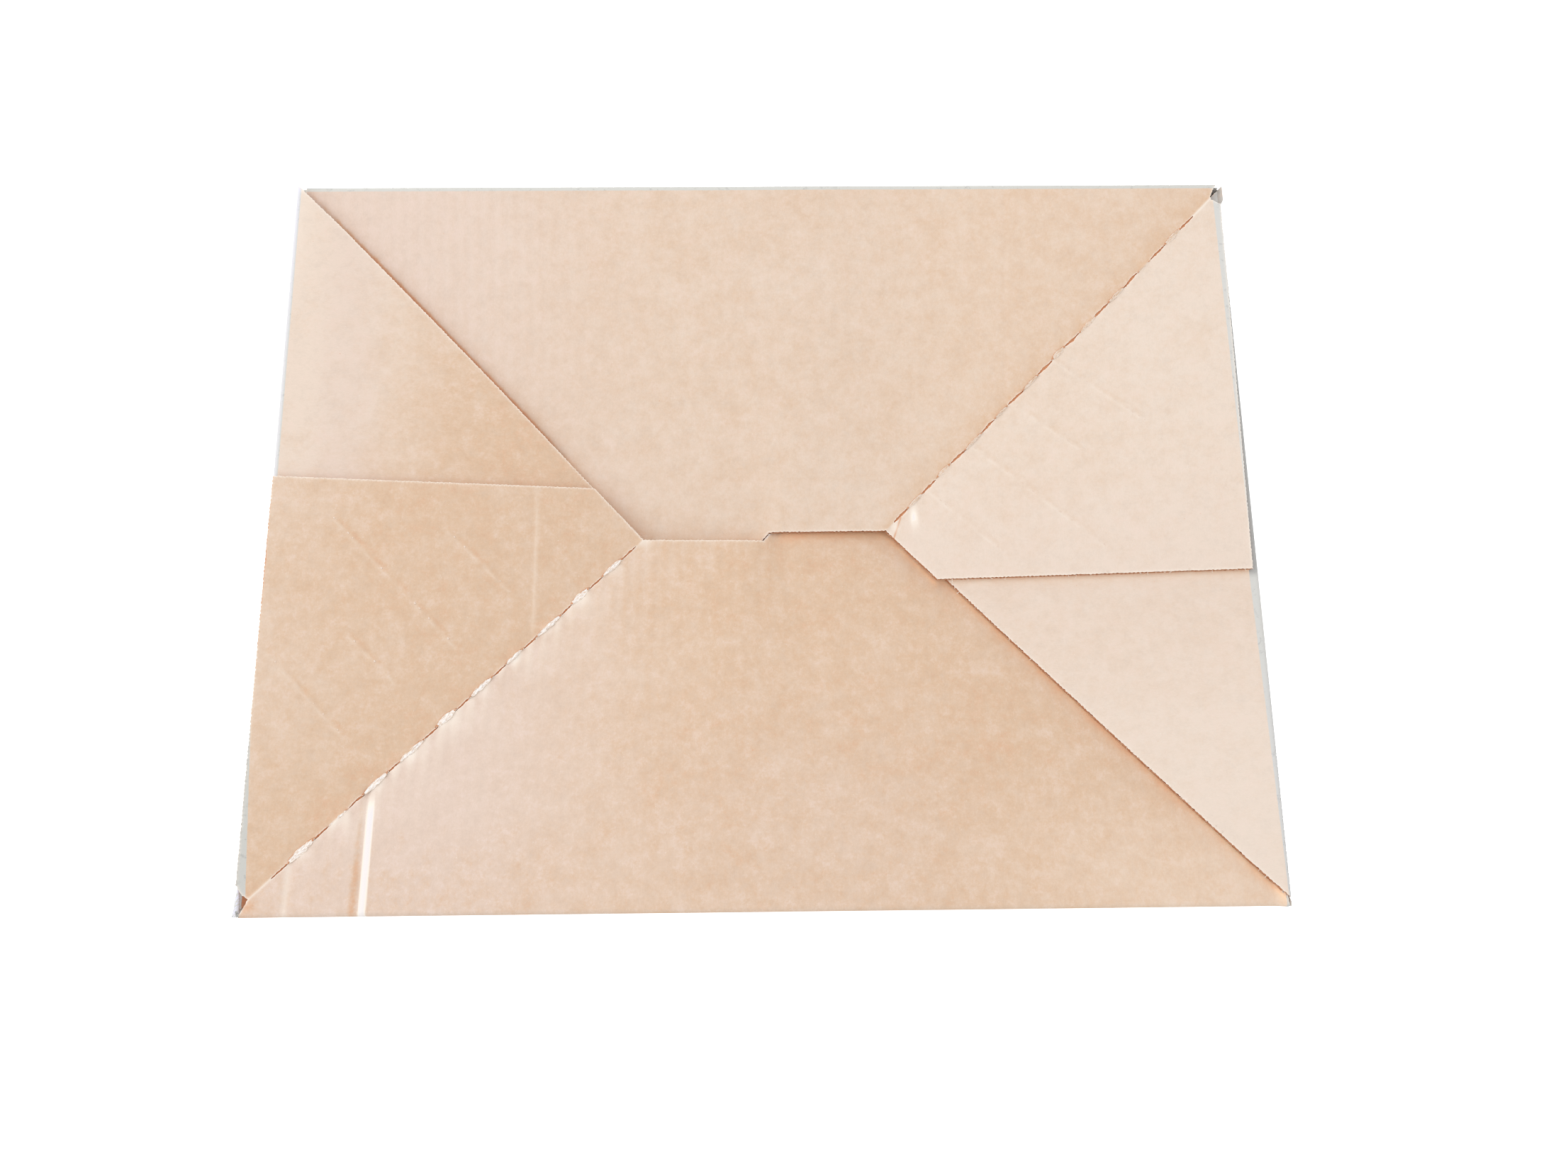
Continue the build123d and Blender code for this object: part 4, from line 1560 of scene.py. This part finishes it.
class CARTON_OT_lips(Operator, Piece):
    """Make the lifted paper on the bridges of both perforated folds"""

    bl_idname = "carton.lips"
    bl_label = "Perforation Lips"

    def execute(self, context):
        c, board = Carton(context.scene), context.scene.carton_board
        papers = paper_set(context.scene.carton_paper)
        tree = lip_tree()
        pitch, count = perforation(c, board)[1:]
        for name, sign, wide, rise, shade_line, paper in (
            ("right_fold_lips", 1, board.right_lip, 0.42 * MM, 0.14 * MM, "kraft"),
            ("left_fold_lips", -1, board.left_lip, 0.70 * MM, 0.16 * MM, "stretched"),
        ):

            def spot(along):
                x = c.half_length - along * ROOT
                y = c.half_width - c.flaps.diagonal_start - along * ROOT
                z = float(c.side_face(np.array([x]), np.array([y]))[0]) + c.sizes.board
                return Vector((sign * x, sign * y, z + 0.25 * MM))

            first = spot(board.slit_start + board.slit + board.bridge / 2)
            step = spot(board.slit_start + board.slit + board.bridge / 2 + pitch) - first
            ahead = step.normalized()
            aside = Vector((0, 0, 1)).cross(ahead).normalized()
            # The line of painted shade lies on the upper left of both folds, as the light falls.
            if aside.x > 0:
                ahead, aside = -ahead, -aside
            turn = Matrix((ahead, aside, ahead.cross(aside))).transposed().to_euler()
            obj = grow(
                name, bpy.data.meshes.new(name), tree,
                {
                    "Count": count - 1,
                    "First": tuple(first),
                    "Step": tuple(step),
                    "Turn": tuple(turn),
                    "Length": board.bridge * (1.12 if sign > 0 else 1.42),
                    "Width": wide,
                    "Rise": rise,
                    "Rim": (0.11 if sign > 0 else 0.15) * MM,
                    "Crack": shade_line,
                    "Crumple": (0.9 if sign > 0 else 1.3) * MM,
                    "Seed": board.seed,
                    "Pillow paper": papers[paper],
                    "Rim paper": papers["torn"],
                    "Crack paper": papers["slit"],
                },
            )
            settle(obj)
        return {"FINISHED"}


class CARTON_OT_fibres(Operator, Piece):
    """Make the torn fibres along two cut edges, and the glue beads' dashes"""

    bl_idname = "carton.fibres"
    bl_label = "Fibres and Glue Marks"

    def execute(self, context):
        c, board = Carton(context.scene), context.scene.carton_board
        papers = paper_set(context.scene.carton_paper)
        hook = c.flaps.hook_shift
        far_top = far_face(c, board, hook, (), 0, board.right_lip, False)
        near_top = far_face(c, board, -hook, (), 0, board.left_lip, True)
        right_top = side_face(c, board, False)
        tab_end = edge_line(
            far_outline(c, hook, FAR_NOTCH, 1.0), far_top, 9, 10, 0.1 * MM, 0.1 * MM
        )
        right_edge = edge_line(
            side_outline(c, c.flaps.right_tip, 0, 4.2 * MM), right_top, 4, 5, 0.1 * MM, 0.1 * MM
        )[:-9]
        fibres = grow(
            "edge_fibres", line_mesh("fibre edges", [tab_end, right_edge]), fibre_tree(),
            {
                "Spacing": 0.0035, "Length": 0.0014, "Thickness": 0.00012, "Seed": board.seed,
                "Material": papers["torn"]
            },
        )
        for vertex in fibres.data.vertices:
            vertex.co.z = min(vertex.co.z, high.z - 0.05 * MM)
        settle(fibres)
        beads = []
        for face, marks in ((far_top, FAR_BEADS), (near_top, NEAR_BEADS)):
            for x0, y0, x1, y1 in marks:
                x = np.linspace(x0, x1, 60) * MM
                y = np.linspace(y0, y1, 60) * MM
                beads.append(np.c_[x, y, face(x, y, True)])
        dashes = grow(
            "glue_marks", line_mesh("glue lines", beads), dash_tree(),
            {
                "Spacing": 0.0031, "Length": 0.0013, "Width": 0.0007, "Rise": 0.00016,
                "Kept": 0.35, "Angle": -0.75, "Seed": board.seed, "Material": papers["glue"],
            },
        )
        settle(dashes)
        return {"FINISHED"}


def fluted_edge(context, name, edge, run, lift=(0, 0, 1), ribbon=0.6 * MM, paper=0.22 * MM):
    """The wavy paper that shows along one cut edge of the board."""
    board, sizes = context.scene.carton_board, context.scene.carton_sizes
    lifts = np.broadcast_to(lift, (len(edge), 3))
    flutes = grow(
        name + "_flutes", line_mesh(name + " edge", [edge], [run], [lifts]), flute_tree(),
        {
            "Pitch": board.flute,
            "Rise": sizes.board * 0.34,
            "Ribbon": ribbon,
            "Paper": paper,
            "Material": paper_set(context.scene.carton_paper)["fluted"],
        },
    )
    settle(flutes)


def wall_round(c, radius, step):
    """Points round the carton's outside, each with its way out and its depth in the seam."""
    hl, hw = c.half_length, c.half_width
    corners = (
        (hl, hw, 0, radius),
        (-hl, hw, 90, radius),
        (-hl, -hw, 180, min(radius, 0.5 * MM)),
        (hl, -hw, 270, radius),
    )
    spots, outs, sunk = [], [], []
    for i, (x, y, begin, r) in enumerate(corners):
        middle = np.array((x - np.sign(x) * r, y - np.sign(y) * r))
        for angle in np.radians(begin + np.linspace(0, 90, 9)):
            outs.append((np.cos(angle), np.sin(angle)))
            spots.append(middle + r * np.array(outs[-1]))
            sunk.append(0)
        nx, ny, n_begin, n_r = corners[(i + 1) % 4]
        angle = radians(n_begin)
        a = spots[-1]
        b = np.array(
            (
                nx - np.sign(nx) * n_r + n_r * np.cos(angle),
                ny - np.sign(ny) * n_r + n_r * np.sin(angle)
            )
        )
        count = int((2 * hl if i % 2 == 0 else 2 * hw) / step)
        shares = [(k / count, 0) for k in range(1, count)]
        if i == 2:
            # The near wall's cut end stands a little away from the glued fold.
            run = float(np.hypot(*(b - a)))
            groove = [
                (gap * MM / run, deep) for gap, deep in ((0.3, 0), (0.35, 1), (1.85, 1), (1.9, 0))
            ]
            shares = groove + shares[1:]
        for share, deep in shares:
            spots.append(a + (b - a) * share)
            outs.append(outs[-1])
            sunk.append(deep * 1.3 * MM)
    return np.array(spots), np.array(outs), np.array(sunk)


class CARTON_OT_walls(Operator, Piece):
    """Make the four walls with their folds, glued corner and fluted rim"""

    bl_idname = "carton.walls"
    bl_label = "Walls"

    def execute(self, context):
        c, board = Carton(context.scene), context.scene.carton_board
        papers = paper_set(context.scene.carton_paper)
        s = c.sizes
        outer, outs, sunk = wall_round(c, s.corner, 1.5 * MM)
        sharp = wall_round(c, 1.0 * MM, 1.5 * MM)[0]
        n = len(outer)
        x, y = outer.T
        far, near = c.far_crease(x), c.far_crease(-x)
        right, left = c.side_crease(y), c.side_crease(-y)
        hl, hw = c.half_length, c.half_width
        crest = np.where(
            y > hw - 0.1 * MM, far, np.where(y < -hw + 0.1 * MM, near, np.where(x > 0, right, left))
        )
        rounded = (np.abs(x) > hl - s.corner) & (np.abs(y) > hw - s.corner)
        crest = np.where(
            rounded, np.minimum(np.where(y > 0, far, near), np.where(x > 0, right, left)), crest
        )
        crest = crest - s.board
        # The right flap ends short of the near corner, where the wall stands up past both flaps.
        ends = (x > 0) & (y < 0) & (hl - np.abs(x) < 1.2 * MM) & (hw - np.abs(y) < 4.8 * MM)
        crest = np.where(ends, s.height - s.board + 1.2 * MM, crest)
        # Where no flap lies over a corner, the wall stands up in its notch.
        x_gap, y_gap = hl - np.abs(x), hw - np.abs(y)
        block = (x > 0) & (y > 0) & (x_gap < 4.8 * MM) & (y_gap < 1.5 * MM)
        quarter = (x > 0) & (y > 0) & (x_gap < 0.2 * MM) & (y_gap > 1.3 * MM) & (y_gap < 12 * MM)
        bare = block | quarter
        crest = np.where(
            bare, np.minimum(crest + 4.6 * MM, c.side_low + s.board) - block * 3.8 * MM, crest
        )
        lengthwise = np.abs(outs[:, 1]) > 0.7
        across = np.where(lengthwise, x, y)
        flat = np.where(rounded, 0, 1)
        wash = 3 * board.washboard * (np.sin(2 * pi * across / board.flute) - 1) * flat
        reach = np.where(lengthwise, 1 - (x / hl) ** 2, 1 - (y / hw) ** 2)
        dents = 0.25 * MM * (ripple(across, 0 * x, 160 * MM, 11) - 1.8) * reach
        rows, wear = [], []
        levels = np.r_[0, 1.5 * MM, np.linspace(0.012, 0.97, 15) * s.height]
        levels = levels[levels < s.height - 9 * MM]
        for z in levels:
            bow = -0.5 * MM * np.sin(pi * z / s.height) * flat * reach
            sag = dents * np.sin(pi * z / s.height) * flat
            shift = (bow + sag + wash * np.clip(z / 0.01, 0, 1) - sunk)[:, None] * outs
            rows.append(np.c_[outer + shift, np.full(n, z)])
            wear.append(np.where(rounded, 1.0, 0.0) + (z < 2 * MM) * 0.8)
        top = sharp - outs * (sunk + block * 0.2 * MM)[:, None]
        rows.append(np.c_[top, crest - 0.6 * MM])
        wear.append(np.full(n, 0.5))
        rows.append(np.c_[top - outs * 0.15 * MM, crest + 0.3 * MM])
        wear.append(np.full(n, 0.8))
        inner = outer - outs * s.board
        held = np.clip(inner, [-hl + s.board, -hw + s.board], [hl - s.board, hw - s.board])
        low_crest = np.where(bare | ends, crest - 4.6 * MM, crest)
        rows.append(np.c_[held, low_crest + 0.3 * MM])
        rows.append(np.c_[held, low_crest - 4 * MM])
        rows.append(np.c_[held, np.full(n, s.height / 2)])
        rows.append(np.c_[held, np.full(n, 1.5 * MM)])
        rows.append(np.c_[held, np.zeros(n)])
        liner_out = outer - outs * (s.board * 0.1 + sunk)[:, None]
        liner_in = outer - outs * s.board * 0.9
        deep = np.full(n, 1.6 * MM)
        for ring, z in (
            (liner_in, 0 * deep), (liner_in, deep), (liner_out, deep), (liner_out, 0 * deep)
        ):
            rows.append(np.c_[ring, z])
        kinds_by_row = [0] * len(levels) + [0, 0, 1, 1, 1, 1, 2, 2, 2, 2, 2]
        faces, kinds = [], []
        total = len(rows)
        for r in range(total):
            a, b = r * n, ((r + 1) % total) * n
            for i in range(n):
                j = (i + 1) % n
                faces.append((a + i, a + j, b + j, b + i))
                kind = kinds_by_row[r]
                if r <= len(levels) and (sunk[i] or sunk[j]):
                    kind = 2
                # Painted shade: the corner block's top faces take the dim print.
                if len(levels) - 1 < r < len(levels) + 3 and block[i]:
                    kind = 3
                kinds.append(kind)
        finishes = [papers[key] for key in ("print", "inside", "cut", "dim")]
        mesh = plain_mesh("walls", np.vstack(rows), faces, finishes, kinds)
        edge = np.zeros(len(mesh.vertices))
        flat_wear = np.concatenate(wear)
        edge[: len(flat_wear)] = flat_wear
        write_attribute(mesh, "edge", np.clip(edge, 0, 1))
        write_attribute(mesh, "tone", np.full(len(mesh.vertices), 0.8))
        settle(place("walls", mesh), True)
        rim = np.c_[outer - outs * s.board / 2, np.full(n, 0.8 * MM)]
        rim, ways = np.vstack([rim, rim[:1]]), np.vstack([outs, outs[:1]])
        run = np.r_[0, np.cumsum(np.hypot(*np.diff(rim[:, :2], axis=0).T))]
        fluted_edge(context, "rim", rim, run, np.c_[ways, np.zeros(n + 1)], 0.22 * MM, 1.5 * MM)
        return {"FINISHED"}


class CARTON_OT_corner_curl(Operator, Piece):
    """Make the liner that curls up in the notch at the near left corner"""

    bl_idname = "carton.corner_curl"
    bl_label = "Corner Curl"

    def execute(self, context):
        c = Carton(context.scene)
        papers = paper_set(context.scene.carton_paper)
        turns, steps, paper = 42, 16, 0.22 * MM
        angles = np.linspace(radians(-150), radians(330), turns)
        rows = []
        for share in np.linspace(0, 1, steps):
            radius = (0.40 + 1.45 * share**0.7) * MM
            middle = (
                -c.half_length + (1.6 + 0.3 * share) * MM,
                -c.half_width + (13.2 - 12.6 * share) * MM
            )
            z = c.side_low + 1.6 * MM + 1.1 * MM * share
            reach = radius * (1 - 0.55 * np.linspace(0, 1, turns))
            for inset in (0, paper):
                r = np.maximum(reach - inset, 0.05 * MM)
                spot = np.c_[
                    middle[0] + r * np.cos(angles), np.full(turns, middle[1]),
                    z + r * np.sin(angles)
                ]
                rows.append(spot)
        grid_rows = np.array(rows).reshape(steps, 2, turns, 3)
        vertices = grid_rows.reshape(-1, 3)

        def at(i, side, j):
            return (i * 2 + side) * turns + j

        faces, kinds = [], []
        for i in range(steps - 1):
            for j in range(turns - 1):
                faces.append((at(i, 0, j), at(i, 0, j + 1), at(i + 1, 0, j + 1), at(i + 1, 0, j)))
                faces.append((at(i, 1, j), at(i + 1, 1, j), at(i + 1, 1, j + 1), at(i, 1, j + 1)))
                # Painted shade: near the torn end some faces take the dim print, dark between its
                # pale turns.
                kinds += [int(i > steps - 5 and (j + i) % 9 < 4)] * 2
            for j, flip in ((0, 1), (turns - 1, 0)):
                quad = (at(i, 0, j), at(i, 1, j), at(i + 1, 1, j), at(i + 1, 0, j))
                faces.append(quad[::-1] if flip else quad)
                kinds.append(0)
        for i, flip in ((0, 0), (steps - 1, 1)):
            for j in range(turns - 1):
                quad = (at(i, 0, j), at(i, 1, j), at(i, 1, j + 1), at(i, 0, j + 1))
                faces.append(quad[::-1] if flip else quad)
        kinds += [0] * (len(faces) - len(kinds))
        mesh = plain_mesh("corner_curl", vertices, faces, [papers["curl"], papers["dim"]], kinds)
        settle(place("corner_curl", mesh))
        return {"FINISHED"}


class CARTON_OT_glue_lap(Operator, Piece):
    """Make the glue lap inside the near wall"""

    bl_idname = "carton.glue_lap"
    bl_label = "Glue Lap"

    def execute(self, context):
        c = Carton(context.scene)
        papers = paper_set(context.scene.carton_paper)
        s = c.sizes
        x0 = -c.half_length + s.board
        x1 = x0 + s.glue_lap
        y0 = -c.half_width + s.board
        taper = 10 * MM
        outline = [
            (x0, 12 * MM),
            (x1, 12 * MM + taper),
            (x1, s.height - s.dish - taper),
            (x0, s.height - s.dish),
        ]
        loop = dense(outline, 3 * MM)
        points = grid([loop], 4 * MM, 8 * MM, 2 * MM)
        flat, tri, order = triangles([loop], points)
        bulge = 0.25 * MM * ripple(flat[:, 0], flat[:, 1], 60 * MM, 5)
        front = np.c_[flat[:, 0], y0 + s.board + bulge - 0.25 * MM, flat[:, 1]]
        back = np.c_[flat[:, 0], np.full(len(flat), y0 - 0.05 * MM), flat[:, 1]]
        faces = [tuple(f[::-1]) for f in tri]
        faces += [tuple(f + len(flat)) for f in tri]
        kinds = [0] * len(faces)
        n = len(loop)
        for i in range(n):
            j = (i + 1) % n
            faces.append((order[i], order[j], order[j] + len(flat), order[i] + len(flat)))
            kinds.append(1)
        mesh = plain_mesh(
            "glue_lap", np.vstack([front, back]), faces, [papers["inside"], papers["cut"]], kinds
        )
        write_attribute(mesh, "tone", np.full(len(mesh.vertices), 0.8))
        settle(place("glue_lap", mesh), True)
        return {"FINISHED"}


class CARTON_OT_studio(Operator, Piece):
    """Make the pale floor, the soft lights and the camera"""

    bl_idname = "carton.studio"
    bl_label = "Studio"

    def execute(self, context):
        scene = context.scene
        studio = scene.carton_studio
        self.floor()
        self.camera(scene, studio)
        self.lights(scene, studio)
        scene.view_settings.view_transform = "Standard"
        return {"FINISHED"}

    def floor(self):
        """A wide floor, just under the rim."""
        reach = 6.0
        spots = [(-reach, -reach, 0), (reach, -reach, 0), (reach, reach, 0), (-reach, reach, 0)]
        material, make, here = new_material("pale floor")
        soft = make.noise(here, 0.002, 2.0)
        base = make.mix(make.ramp(soft, 0.3, 0.7), (0.90, 0.90, 0.90), (0.92, 0.92, 0.92))
        shader = make(
            "ShaderNodeBsdfPrincipled",
            {
                "Base Color": base, "Roughness": 0.9, "Emission Color": (1, 1, 1, 1),
                "Emission Strength": 0.5
            },
        )
        make("ShaderNodeOutputMaterial", {"Surface": shader.outputs[0]})
        mesh = bpy.data.meshes.new("floor")
        mesh.from_pydata(spots, [], [(0, 1, 2, 3)])
        mesh.materials.append(material)
        floor = place("floor", mesh)
        floor.location.z = -0.0002

    def camera(self, scene, studio):
        """The camera, looking down on the bottom."""
        eye, aim = Vector(studio.eye), Vector(studio.aim)
        forward = (aim - eye).normalized()
        right = forward.cross(Vector((0, 0, 1))).normalized()
        right = Matrix.Rotation(-studio.roll, 3, forward) @ right
        up = right.cross(forward)
        data = bpy.data.cameras.new("camera")
        data.lens = studio.lens
        data.sensor_width = 36
        data.clip_start = 0.01
        camera = bpy.data.objects.new("camera", data)
        scene.collection.objects.link(camera)
        turn = Matrix((right, up, -forward)).transposed().to_4x4()
        camera.matrix_world = Matrix.Translation(eye) @ turn
        scene.camera = camera

    def lights(self, scene, studio):
        """A broad light on the left, one overhead and an even fill."""
        for name, spot, size, power in (
            ("key light", (-1.1, 0.35, 0.95), 0.9, studio.key),
            ("top light", (0.0, 0.3, 1.7), 1.6, studio.top),
        ):
            data = bpy.data.lights.new(name, "AREA")
            data.energy = power
            data.size = size
            light = bpy.data.objects.new(name, data)
            scene.collection.objects.link(light)
            aim = Vector((0, 0, 0.22)) - Vector(spot)
            turn = aim.to_track_quat("-Z", "Y").to_matrix().to_4x4()
            light.matrix_world = Matrix.Translation(spot) @ turn
        world = bpy.data.worlds.new("studio air")
        world.use_nodes = True
        world.node_tree.nodes["Background"].inputs[0].default_value = (1, 1, 1, 1)
        world.node_tree.nodes["Background"].inputs[1].default_value = studio.fill
        scene.world = world


class CARTON_PT_sidebar(Panel):
    """The carton's pieces and settings in the sidebar."""

    bl_idname = "CARTON_PT_sidebar"
    bl_label = "Carton"
    bl_space_type = "VIEW_3D"
    bl_region_type = "UI"
    bl_category = "Carton"

    def draw(self, context):
        layout = self.layout
        for operator in PIECES:
            layout.operator(operator.bl_idname)
        for group in GROUPS:
            box = layout.box()
            settings = getattr(context.scene, group)
            for key in settings.bl_rna.properties.keys():
                if key not in {"rna_type", "name"}:
                    box.prop(settings, key)


PIECES = (
    CARTON_OT_studio,
    CARTON_OT_walls,
    CARTON_OT_corner_curl,
    CARTON_OT_glue_lap,
    CARTON_OT_right_flap,
    CARTON_OT_left_flap,
    CARTON_OT_far_flap,
    CARTON_OT_near_flap,
    CARTON_OT_lips,
    CARTON_OT_fibres,
)
GROUPS = {
    "carton_sizes": CartonSizes,
    "carton_flaps": FlapSizes,
    "carton_board": BoardSettings,
    "carton_paper": PaperColours,
    "carton_studio": StudioSettings,
}


def register():
    for settings in GROUPS.values():
        bpy.utils.register_class(settings)
    for name, settings in GROUPS.items():
        setattr(bpy.types.Scene, name, PointerProperty(type=settings))
    for operator in PIECES:
        bpy.utils.register_class(operator)
    bpy.utils.register_class(CARTON_PT_sidebar)


def unregister():
    bpy.utils.unregister_class(CARTON_PT_sidebar)
    for operator in reversed(PIECES):
        bpy.utils.unregister_class(operator)
    for name in GROUPS:
        delattr(bpy.types.Scene, name)
    for settings in reversed(list(GROUPS.values())):
        bpy.utils.unregister_class(settings)


def main():
    """Registers the carton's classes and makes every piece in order."""
    register()
    for operator in PIECES:
        group, name = operator.bl_idname.split(".")
        getattr(getattr(bpy.ops, group), name)()


if __name__ == "__main__":
    main()
